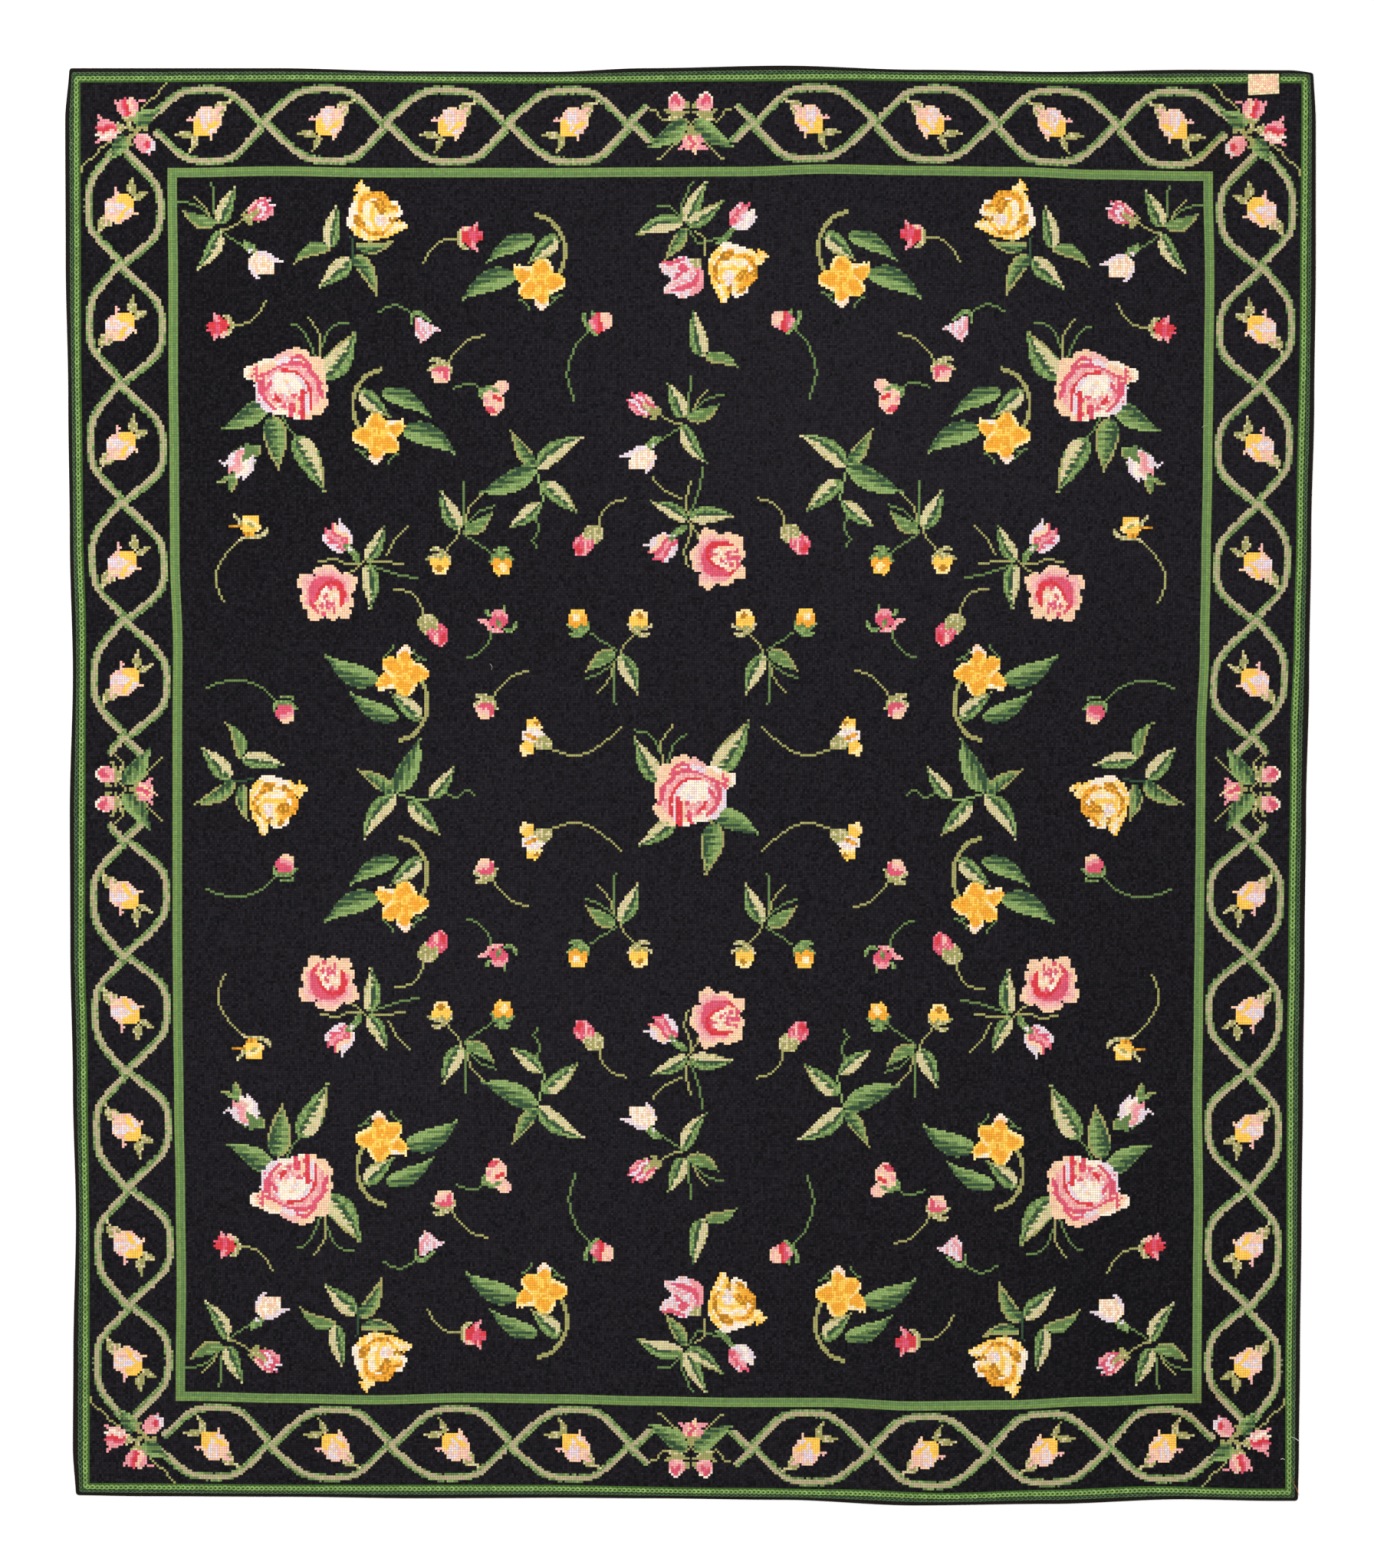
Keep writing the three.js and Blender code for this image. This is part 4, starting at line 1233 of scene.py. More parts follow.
@dataclass
class StitchColours:
    """The colour of every stitch: its wool, a little uneven, with broad painted light and shade on the
    ground, and the cloth's stained parts.
    """

    chart: Chart
    cloth: Cloth
    uneven: float = 0.07
    # The ground's stitches vary more than the other wools: partly the black wool's own unevenness, partly
    # painted highlights on its fibres
    ground_uneven_and_painted_highlights: float = 0.34
    slow_uneven: float = 0.03
    ground_slow_uneven: float = 0.06
    tint_uneven: float = 0.03
    shade_limits: Point = (0.4, 1.8)
    wave_length: float = 90.0
    waves: int = 6
    stain_light: float = 2.2
    # Painted light and shade: broad lighter and darker parts of the ground, darkest at the top left and the
    # bottom right
    painted_light_and_shade: tuple[Tone, ...] = (
        Tone((330, 700), (560, 560), 0.26),
        Tone((-380, -350), (520, 520), 0.16),
        Tone((-960, 900), (420, 700), -0.28),
        Tone((930, -1150), (420, 620), -0.34),
        Tone((1100, 300), (160, 900), 0.10),
    )
    stains: tuple[Stain, ...] = (
        Stain((1031, 1238), (62, 40), 0.34, "#a08a3c"),
        Stain((1010, -1192), (42, 26), 0.30, "#8a6a34"),
        Stain((964, -1240), (60, 30), 0.22, "#8a6a34"),
    )

    def make(self) -> Array:
        """Works out the colours.

        Returns:
            Linear red, green and blue for each stitch, by row and column.
        """
        draw = np.random.default_rng(SEED)
        palette = np.array([linear(wool.value) for wool in WOOLS])
        colours = palette[self.chart.worked]
        shape = self.chart.worked.shape
        across, down = np.meshgrid(np.arange(shape[1]) + 0.5, np.arange(shape[0]) + 0.5)
        places = self.cloth.lay(across.ravel(), down.ravel())
        x = places[:, 0].reshape(shape)
        y = places[:, 1].reshape(shape)
        grain = draw.normal(size=shape)
        slow = self._slow(draw, shape)
        shade = 1 + self.uneven * grain + self.slow_uneven * slow
        ground_painted_light_and_unevenness = 1 + self.ground_uneven_and_painted_highlights * grain + self.ground_slow_uneven * slow
        # Painted light and shade: the broad parts lighten and darken the ground's colour
        ground_painted_light_and_unevenness += sum(tone.share(x, y) for tone in self.painted_light_and_shade)
        shade = np.where(self.chart.worked == Wool.GROUND.place, ground_painted_light_and_unevenness, shade)
        tints = 1 + self.tint_uneven * draw.normal(size=(*shape, 3))
        colours = colours * np.clip(shade, *self.shade_limits)[..., None] * tints
        for stain in self.stains:
            amount = stain.share(x, y)[..., None]
            stained = colours * np.array(linear(stain.tint)) * self.stain_light
            colours = colours * (1 - amount) + stained * amount
        return np.clip(colours, 0.0, 1.0)

    def _slow(self, draw: np.random.Generator, shape: tuple[int, int]) -> Array:
        """A slow, smooth unevenness of about -1 to 1 over the cloth."""
        down, across = np.mgrid[0:shape[0], 0:shape[1]]
        total = np.zeros(shape)
        for _ in range(self.waves):
            angle = draw.uniform(0, math.pi)
            span = self.wave_length * draw.uniform(0.5, 1.6)
            phase = draw.uniform(0, 2 * math.pi)
            travel = across * math.cos(angle) * 2.0 / 3 + down * math.sin(angle)
            total += np.sin(travel / span * 2 + phase)
        return total / 4


WOOL_SHINE = 0.08
ROUGHNESS_SPREAD = 0.12


class Value:
    """A number worked out in a material, so that its sums can be written as plain arithmetic."""

    def __init__(self, nodes: "Nodes", socket: Any) -> None:
        """Wraps a node's output."""
        self.nodes = nodes
        self.socket = socket

    def _math(self, operation: str, *others: Any) -> "Value":
        """Adds a maths node that takes this number first."""
        return self.nodes.math(operation, self, *others)

    def __add__(self, other: Any) -> "Value":
        """This number plus another."""
        return self._math("ADD", other)

    def __sub__(self, other: Any) -> "Value":
        """This number less another."""
        return self._math("SUBTRACT", other)

    def __mul__(self, other: Any) -> "Value":
        """This number times another."""
        return self._math("MULTIPLY", other)

    def __truediv__(self, other: Any) -> "Value":
        """This number over another."""
        return self._math("DIVIDE", other)

    def __pow__(self, other: Any) -> "Value":
        """This number to a power."""
        return self._math("POWER", other)

    def __rsub__(self, other: Any) -> "Value":
        """Another number less this one."""
        return self.nodes.math("SUBTRACT", other, self)

    __radd__ = __add__
    __rmul__ = __mul__

    def fraction(self) -> "Value":
        """The part after the whole number."""
        return self._math("FRACT")

    def sine(self) -> "Value":
        """The sine."""
        return self._math("SINE")

    def root(self) -> "Value":
        """The square root."""
        return self._math("SQRT")

    def at_least(self, other: Any) -> "Value":
        """The larger of this number and another."""
        return self._math("MAXIMUM", other)


class Nodes:
    """Adds nodes to one material."""

    def __init__(self, name: str) -> None:
        """Makes the material with a plain shader.

        Args:
            name: the material's name.
        """
        self.material = bpy.data.materials.new(name)
        self.material.use_nodes = True
        self.tree = self.material.node_tree
        self.shader = self.tree.nodes["Principled BSDF"]

    def add(self, kind: str, settings: dict[str, Any], inputs: dict[Any, Any]) -> Any:
        """Adds one node.

        Args:
            kind: the node's type.
            settings: its own settings.
            inputs: a value, Value or socket for each input by name or number.

        Returns:
            The node.
        """
        node = self.tree.nodes.new(kind)
        for key, value in settings.items():
            setattr(node, key, value)
        for key, value in inputs.items():
            self.feed(node.inputs[key], value)
        return node

    def feed(self, socket: Any, value: Any) -> None:
        """Links or sets one input."""
        if isinstance(value, Value):
            self.tree.links.new(value.socket, socket)
        elif isinstance(value, bpy.types.NodeSocket):
            self.tree.links.new(value, socket)
        else:
            socket.default_value = value

    def math(self, operation: str, *values: Any) -> Value:
        """Adds a maths node."""
        node = self.add("ShaderNodeMath", {"operation": operation}, dict(enumerate(values)))
        return Value(self, node.outputs[0])

    def noise(self, place: Any, scale: float, detail: float = 2.0) -> Value:
        """Adds a noise of about 0 to 1.

        Args:
            place: the coordinates to read.
            scale: how many waves to a unit.
            detail: how many finer layers it has.

        Returns:
            The noise.
        """
        node = self.add("ShaderNodeTexNoise", {}, {"Vector": place, "Scale": scale, "Detail": detail})
        return Value(self, node.outputs["Fac"])

    def split(self, place: Any) -> tuple[Value, Value]:
        """Parts the first two coordinates of a place."""
        parts = self.add("ShaderNodeSeparateXYZ", {}, {0: place})
        return Value(self, parts.outputs[0]), Value(self, parts.outputs[1])

    def wool(self) -> Any:
        """Reads the wool's colour from the mesh."""
        return self.add("ShaderNodeAttribute", {"attribute_name": "wool"}, {}).outputs["Color"]

    def rough_wool(self, fuzz: Value, roughness: float) -> Value:
        """Dulls the shine, as on wool, and makes the roughness a little uneven."""
        self.shader.inputs["Specular IOR Level"].default_value = WOOL_SHINE
        return fuzz * ROUGHNESS_SPREAD + (roughness - ROUGHNESS_SPREAD / 2)

    def scaled(self, colour: Any, amount: Value) -> Any:
        """Makes a colour lighter or darker.

        Args:
            colour: the colour's socket.
            amount: what to multiply it by.

        Returns:
            The new colour's socket.
        """
        node = self.add("ShaderNodeVectorMath", {"operation": "SCALE"}, {0: colour, "Scale": amount})
        return node.outputs[0]

    def finish(self, colour: Any, rough: Any, height: Value, depth: float) -> bpy.types.Material:
        """Joins the finished values to the shader.

        Args:
            colour: the base colour's socket.
            rough: the roughness.
            height: the relief, from 0 to 1.
            depth: how deep the relief is, in metres.

        Returns:
            The material.
        """
        bump = self.add("ShaderNodeBump", {}, {"Height": height, "Distance": depth, "Strength": 1.0})
        self.feed(self.shader.inputs["Base Color"], colour)
        self.feed(self.shader.inputs["Roughness"], rough)
        self.feed(self.shader.inputs["Normal"], bump.outputs[0])
        return self.material


@dataclass(frozen=True)
class CrossStitchFinish:
    """Wool cross stitch: two crossed strands to a stitch, with painted shade between them, twisted and a
    little fuzzy.
    """

    name: str = "cross_stitched_wool"
    strand: float = 0.52
    depth: float = 0.0016
    painted_gap_shade: float = 0.15
    roughness: float = 0.92
    waver: float = 0.25
    under_strand: float = 0.78
    twist_waves: Point = (14.0, 9.0)
    twist_light: float = 0.10
    fuzz_waves: float = 9.0
    fuzz_light: float = 0.22

    def make(self) -> bpy.types.Material:
        """Makes the material.

        Returns:
            The material, which reads the wool attribute and the chart's own coordinates.
        """
        nodes = Nodes(self.name)
        chart = nodes.add("ShaderNodeUVMap", {"uv_map": "chart"}, {})
        across, down = nodes.split(chart.outputs[0])
        waver = nodes.noise(chart.outputs[0], 0.9, 1.0) - 0.5
        u = (across + waver * self.waver).fraction()
        v = (down - waver * self.waver).fraction()
        away_top = u + v - 1.0
        away_under = u - v
        top = self._strand(away_top, away_under)
        under = self._strand(away_under, away_top) * self.under_strand
        height = top.at_least(under)
        turns = away_under * self.twist_waves[0] + away_top * self.twist_waves[1]
        twist = (turns.sine() * 0.5 + 0.5) * height
        fuzz = nodes.noise(chart.outputs[0], self.fuzz_waves, 3.0)
        # Painted shade: the wool's colour darkens where the strands sink, to its least between the stitches,
        # and lightens along the twist's ridges as painted highlight
        light = (height ** 0.8) * (1.0 - self.painted_gap_shade) + self.painted_gap_shade
        light = light * (twist * self.twist_light + 1.02) * (fuzz * self.fuzz_light + 0.89)
        colour = nodes.scaled(nodes.wool(), light)
        relief = height * 0.86 + twist * 0.06 + fuzz * 0.08
        return nodes.finish(colour, nodes.rough_wool(fuzz, self.roughness), relief, self.depth)

    def _strand(self, away: Value, along: Value) -> Value:
        """The height of one strand.

        Args:
            away: how far the point lies from the strand's middle line, -1 to 1.
            along: how far it lies along the strand, -1 to 1.

        Returns:
            Its height, 0 to 1.
        """
        round_share = (away / self.strand) ** 2.0
        return (1.0 - round_share).at_least(0.0).root() * (1.0 - (along * along) ** 2.0 * 0.8)


def closed_sheet(x_segments: int, y_segments: int) -> tuple[bmesh.types.BMesh, list[bmesh.types.BMEdge]]:
    """Makes a closed sheet from -1 to 1 both ways, with its face at height 0 and its feet at -1.

    Args:
        x_segments: how many faces it has across.
        y_segments: how many faces it has up.

    Returns:
        The sheet, and the edges round its face.
    """
    shell = bmesh.new()
    bmesh.ops.create_grid(shell, x_segments=x_segments, y_segments=y_segments, size=1.0)
    rim = [edge for edge in shell.edges if edge.is_boundary]
    walls = bmesh.ops.extrude_edge_only(shell, edges=rim)["geom"]
    feet = [part for part in walls if isinstance(part, bmesh.types.BMVert)]
    bmesh.ops.translate(shell, verts=feet, vec=(0, 0, -1))
    bmesh.ops.contextual_create(shell, geom=[edge for edge in shell.edges if edge.is_boundary])
    bmesh.ops.recalc_face_normals(shell, faces=shell.faces)
    return shell, rim


def finished_mesh(shell: bmesh.types.BMesh, name: str, smooth: bool = True) -> bpy.types.Mesh:
    """Turns a shell into a mesh, with smooth faces unless it is told otherwise."""
    for face in shell.faces:
        face.smooth = smooth
    mesh = bpy.data.meshes.new(name)
    shell.to_mesh(mesh)
    shell.free()
    return mesh


def add_object(name: str, mesh: bpy.types.Mesh, finish: bpy.types.Material) -> bpy.types.Object:
    """Puts a mesh into the scene in one material."""
    added = bpy.data.objects.new(name, mesh)
    bpy.context.scene.collection.objects.link(added)
    mesh.materials.append(finish)
    return added


def points_of(mesh: bpy.types.Mesh) -> Array:
    """The points of a mesh, one row each."""
    flat = np.empty(len(mesh.vertices) * 3)
    mesh.vertices.foreach_get("co", flat)
    return flat.reshape(-1, 3)


class FaceCorners:
    """The corners of a mesh's faces, which carry the wool's colour and the chart's coordinates."""

    def __init__(self, mesh: bpy.types.Mesh) -> None:
        """Reads which points the corners of each face stand on."""
        self.mesh = mesh
        self.points = np.empty(len(mesh.loops), np.int32)
        self.starts = np.empty(len(mesh.polygons), np.int32)
        self.counts = np.empty(len(mesh.polygons), np.int32)
        mesh.loops.foreach_get("vertex_index", self.points)
        mesh.polygons.foreach_get("loop_start", self.starts)
        mesh.polygons.foreach_get("loop_total", self.counts)

    def mean(self, values: Array) -> Array:
        """The mean over each face of a value that every point has."""
        return np.add.reduceat(values[self.points], self.starts) / self.counts

    def paint(self, colours: Array) -> None:
        """Gives each face its wool's colour, in linear light from 0 to 1."""
        painted = np.ones((len(self.points), 4))
        painted[:, :3] = np.repeat(colours, self.counts, axis=0)
        layer = self.mesh.color_attributes.new("wool", "FLOAT_COLOR", "CORNER")
        layer.data.foreach_set("color", painted.ravel())

    def put_on_chart(self, across: Array, down: Array) -> None:
        """Gives each corner the place of its point on the chart."""
        layer = self.mesh.uv_layers.new(name="chart")
        layer.data.foreach_set("uv", np.column_stack([across[self.points], down[self.points]]).ravel())


class Side(Enum):
    """The four sides of the rug: whether each runs level, and whether it is at the chart's far end."""

    TOP = (True, False)
    FOOT = (True, True)
    LEFT = (False, False)
    RIGHT = (False, True)

    @property
    def level(self) -> bool:
        """Whether it runs from left to right."""
        return self.value[0]

    @property
    def far(self) -> bool:
        """Whether it is at the chart's last row or column."""
        return self.value[1]


@dataclass(frozen=True)
class PanelCut:
    """One of the panels that the chart is cut into, four across and four down."""

    row: int
    column: int

    @classmethod
    def every(cls) -> "list[PanelCut]":
        """All the panels, row by row from the top left."""
        return [cls(row, column) for row in range(PANELS_EACH_WAY) for column in range(PANELS_EACH_WAY)]

    @property
    def label(self) -> str:
        """The end of the names of the pieces on this panel."""
        return f"{self.row + 1}_{self.column + 1}"

    @property
    def columns(self) -> tuple[int, int]:
        """The chart places of its left and right edge."""
        return self._ends(self.column, COLUMNS)

    @property
    def rows(self) -> tuple[int, int]:
        """The chart places of its top and bottom edge."""
        return self._ends(self.row, ROWS)

    @staticmethod
    def _ends(number: int, total: int) -> tuple[int, int]:
        """Where one panel of a row of them starts and ends."""
        return number * total // PANELS_EACH_WAY, (number + 1) * total // PANELS_EACH_WAY

    def outer_sides(self) -> list[Side]:
        """Its sides that are the rug's own edge."""
        last = PANELS_EACH_WAY - 1
        outer = {Side.TOP: self.row == 0, Side.FOOT: self.row == last,
                 Side.LEFT: self.column == 0, Side.RIGHT: self.column == last}
        return [side for side, here in outer.items() if here]


@dataclass
class StitchedCloth:
    """The rug's cloth, built a stitch to a face in sixteen panels that meet edge to edge."""

    cloth: Cloth
    colours: Array
    finish: bpy.types.Material
    hem_steps: tuple[float, ...] = (0.07, 0.3, 0.65)

    def build(self) -> list[bpy.types.Object]:
        """Builds and dresses every panel.

        Returns:
            The panels.
        """
        panels = [self._panel(cut) for cut in PanelCut.every()]
        log.info("cloth: %d panels of %d stitches", len(panels), self.cloth.columns * self.cloth.rows)
        return panels

    def _lines(self, ends: tuple[int, int], total: int) -> Array:
        """The chart places of a panel's face lines, with more of them over the rolled hem."""
        lines = [float(line) for line in range(ends[0], ends[1] + 1)]
        if ends[0] == 0:
            lines += list(self.hem_steps)
        if ends[1] == total:
            lines += [total - step for step in self.hem_steps]
        return np.array(sorted(lines))

    def _panel(self, cut: PanelCut) -> bpy.types.Object:
        """Builds one panel as a closed sheet.

        Args:
            cut: the part of the chart that it holds.

        Returns:
            The finished panel.
        """
        across = self._lines(cut.columns, self.cloth.columns)
        down = self._lines(cut.rows, self.cloth.rows)
        shell, rim = closed_sheet(len(across) - 1, len(down) - 1)
        for edge in rim:
            edge.smooth = False
        mesh = finished_mesh(shell, f"cloth_panel_{cut.label}")
        self._place(mesh, across, down, cut)
        panel = add_object(mesh.name, mesh, self.finish)
        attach(panel, BODY)
        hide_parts("stitched_rug")
        flat = ((cut.columns[1] - cut.columns[0]) * self.cloth.stitch_across * MM,
                (cut.rows[1] - cut.rows[0]) * self.cloth.stitch_down * MM)
        return panel

    def _place(self, mesh: bpy.types.Mesh, across: Array, down: Array, cut: PanelCut) -> None:
        """Lays a flat panel's points on the cloth and gives each face its stitch's colour.

        Args:
            mesh: the panel, from -1 to 1 both ways, its feet at -1.
            across: the chart places of its upright lines.
            down: the chart places of its level lines.
            cut: the part of the chart that it holds.
        """
        flat = points_of(mesh)
        column = across[np.rint((flat[:, 0] + 1) / 2 * (len(across) - 1)).astype(int)]
        row = down[np.rint((1 - flat[:, 1]) / 2 * (len(down) - 1)).astype(int)]
        placed = self.cloth.lay(column, row) * MM
        placed[flat[:, 2] < BELOW_FACE, 2] = 0.0
        mesh.vertices.foreach_set("co", placed.ravel())
        corners = FaceCorners(mesh)
        (left, right), (top, bottom) = cut.columns, cut.rows
        stitch_column = np.clip(np.floor(corners.mean(column)).astype(int), left, right - 1)
        stitch_row = np.clip(np.floor(corners.mean(row)).astype(int), top, bottom - 1)
        corners.paint(self.colours[stitch_row, stitch_column])
        corners.put_on_chart(column, row)
        mesh.update()


@dataclass(frozen=True)
class PlaitFinish:
    """Plaited wool: thick strands whose twist and fuzz show."""

    name: str = "plaited_wool"
    depth: float = 0.0005
    roughness: float = 0.9
    fuzz_waves: float = 1900.0
    blotch_waves: float = 240.0
    ply_waves: float = 4200.0
    fuzz_light: float = 0.30
    blotch_light: float = 0.24
    ply_light: float = 0.12

    def make(self) -> bpy.types.Material:
        """Makes the material.

        Returns:
            The material, which reads the wool attribute and Object coordinates.
        """
        nodes = Nodes(self.name)
        place = nodes.add("ShaderNodeTexCoord", {}, {}).outputs["Object"]
        x, y = nodes.split(place)
        fuzz = nodes.noise(place, self.fuzz_waves, 3.0)
        blotch = nodes.noise(place, self.blotch_waves, 1.0)
        # Painted light and shade: the ply's ridges are lightened and its grooves darkened in the wool's
        # colour; the fuzz and blotches are the wool's own unevenness
        ply = ((x + y) * self.ply_waves + fuzz * 3.0).sine() * 0.5 + 0.5
        light = (fuzz * self.fuzz_light + 0.85) * (blotch * self.blotch_light + 0.88)
        light = light * (ply * self.ply_light + 0.94)
        worn_and_ply_shaded = nodes.scaled(nodes.wool(), light)
        return nodes.finish(worn_and_ply_shaded, nodes.rough_wool(fuzz, self.roughness), fuzz * 0.5 + ply * 0.5, self.depth)


@dataclass(frozen=True)
class PlaitRow:
    """One of the hem's two plaits: how far in it runs, its wool, and its width and lift, in stitches."""

    inset: float
    wool: str
    width: float
    lift: float


@dataclass
class HemPlaits:
    """The two plaits round the hem, chains of overlapping wool loops, a dark one and a bright one."""

    cloth: Cloth
    finish: bpy.types.Material
    rows: tuple[PlaitRow, ...] = (
        PlaitRow(3.0, "#4a6044", 1.9, 0.1),
        PlaitRow(5.25, "#7e9e59", 2.5, 0.35),
    )
    pitch: float = 2.0
    loop_length: float = 3.1
    strand: float = 0.36
    steps: int = 8
    strand_sides: int = 4
    tilt: float = 0.27
    pinch: float = 0.28
    plump: float = 1.15
    rise: float = 0.8
    stray: float = 0.05
    uneven: float = 0.10
    patch_node: str = "sewn_patch"
    patch_margin: float = 0.005
    seed: int = SEED + 1

    def build(self) -> list[bpy.types.Object]:
        """Returns:
            The pieces.
        """
        draw = np.random.default_rng(self.seed)
        pieces = [self._piece(cut, draw) for cut in PanelCut.every() if cut.outer_sides()]
        log.info("hem plaits: %d pieces, %d faces", len(pieces), sum(len(p.data.polygons) for p in pieces))
        return pieces

    def _loop(self) -> bpy.types.Mesh:
        """Makes one loop of wool, 2 wide, along x, in stitches.

        Returns:
            The loop's mesh.
        """
        shell = bmesh.new()
        made = bmesh.ops.create_circle(shell, segments=self.strand_sides, radius=self.strand)
        stand = Matrix.Translation((1.0 - self.strand, 0, 0)) @ Matrix.Rotation(math.pi / 2, 4, "X")
        bmesh.ops.transform(shell, matrix=stand, verts=made["verts"])
        bmesh.ops.spin(shell, geom=shell.verts[:] + shell.edges[:], cent=(0, 0, 0), axis=(0, 0, 1),
                       angle=2 * math.pi, steps=self.steps, use_merge=True)
        bmesh.ops.remove_doubles(shell, verts=shell.verts, dist=0.001)
        bmesh.ops.recalc_face_normals(shell, faces=shell.faces)
        for vert in shell.verts:
            share = vert.co.x
            vert.co.x = share * self.loop_length / 2
            vert.co.y *= 1.0 - self.pinch * max(0.0, -share)
            vert.co.z = vert.co.z * self.plump + share * self.tilt
        return finished_mesh(shell, "plait_loop")

    def _piece(self, cut: PanelCut, draw: np.random.Generator) -> bpy.types.Object:
        """Builds the plaits along the outer sides of one panel.

        Args:
            cut: the panel.
            draw: the random numbers.

        Returns:
            The finished piece.
        """
        loop = self._loop()
        shape = points_of(loop)
        shell = bmesh.new()
        places: list[Array] = []
        tints: list[Array] = []
        for side in cut.outer_sides():
            total = self.cloth.columns if side.level else self.cloth.rows
            first, last = cut.columns if side.level else cut.rows
            for row in self.rows:
                start = max(float(first), row.inset)
                end = min(float(last), total - row.inset)
                count = round((end - start) / self.pitch)
                for number in range(count):
                    along = start + (number + 0.5) * (end - start) / count
                    placed = self._along_side(shape, side, row, along, draw)
                    tint = np.array(linear(row.wool)) * (1 + self.uneven * draw.normal())
                    if not self._under_patch(placed):
                        shell.from_mesh(loop)
                        places.append(placed)
                        tints.append(tint)
        mesh = finished_mesh(shell, f"hem_plait_{cut.label}")
        mesh.vertices.foreach_set("co", np.vstack(places).ravel())
        FaceCorners(mesh).paint(np.repeat(np.clip(tints, 0, 1), len(loop.polygons), axis=0))
        mesh.update()
        bpy.data.meshes.remove(loop)
        piece = add_object(mesh.name, mesh, self.finish)
        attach(piece, BODY)
        return piece

    def _under_patch(self, placed: Array) -> bool:
        """Whether the patch covers a loop, which is then left out."""
        low, high = (np.array(corner)[:2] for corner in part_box(self.patch_node))
        middle = placed.mean(axis=0)[:2]
        return bool(np.all(middle > low - self.patch_margin) and np.all(middle < high + self.patch_margin))

    def _along_side(self, shape: Array, side: Side, row: PlaitRow, along: float,
                    draw: np.random.Generator) -> Array:
        """Lays one loop on the hem.

        Args:
            shape: the loop's points, in stitches.
            side: the side of the rug.
            row: which plait it belongs to.
            along: how far along the side its middle is, in stitches.
            draw: the random numbers.

        Returns:
            The loop's points, in metres.
        """
        run = along + shape[:, 0] + draw.normal() * self.stray
        inward = shape[:, 1] if side.level == side.far else -shape[:, 1]
        inset = row.inset + inward * row.width / 2 + draw.normal() * self.stray
        if side.far:
            inset = (self.cloth.rows if side.level else self.cloth.columns) - inset
        placed = self.cloth.lay(run, inset) if side.level else self.cloth.lay(inset, run)
        placed[:, 2] += (shape[:, 2] + row.lift) * self.cloth.stitch_down * self.rise
        return placed * MM


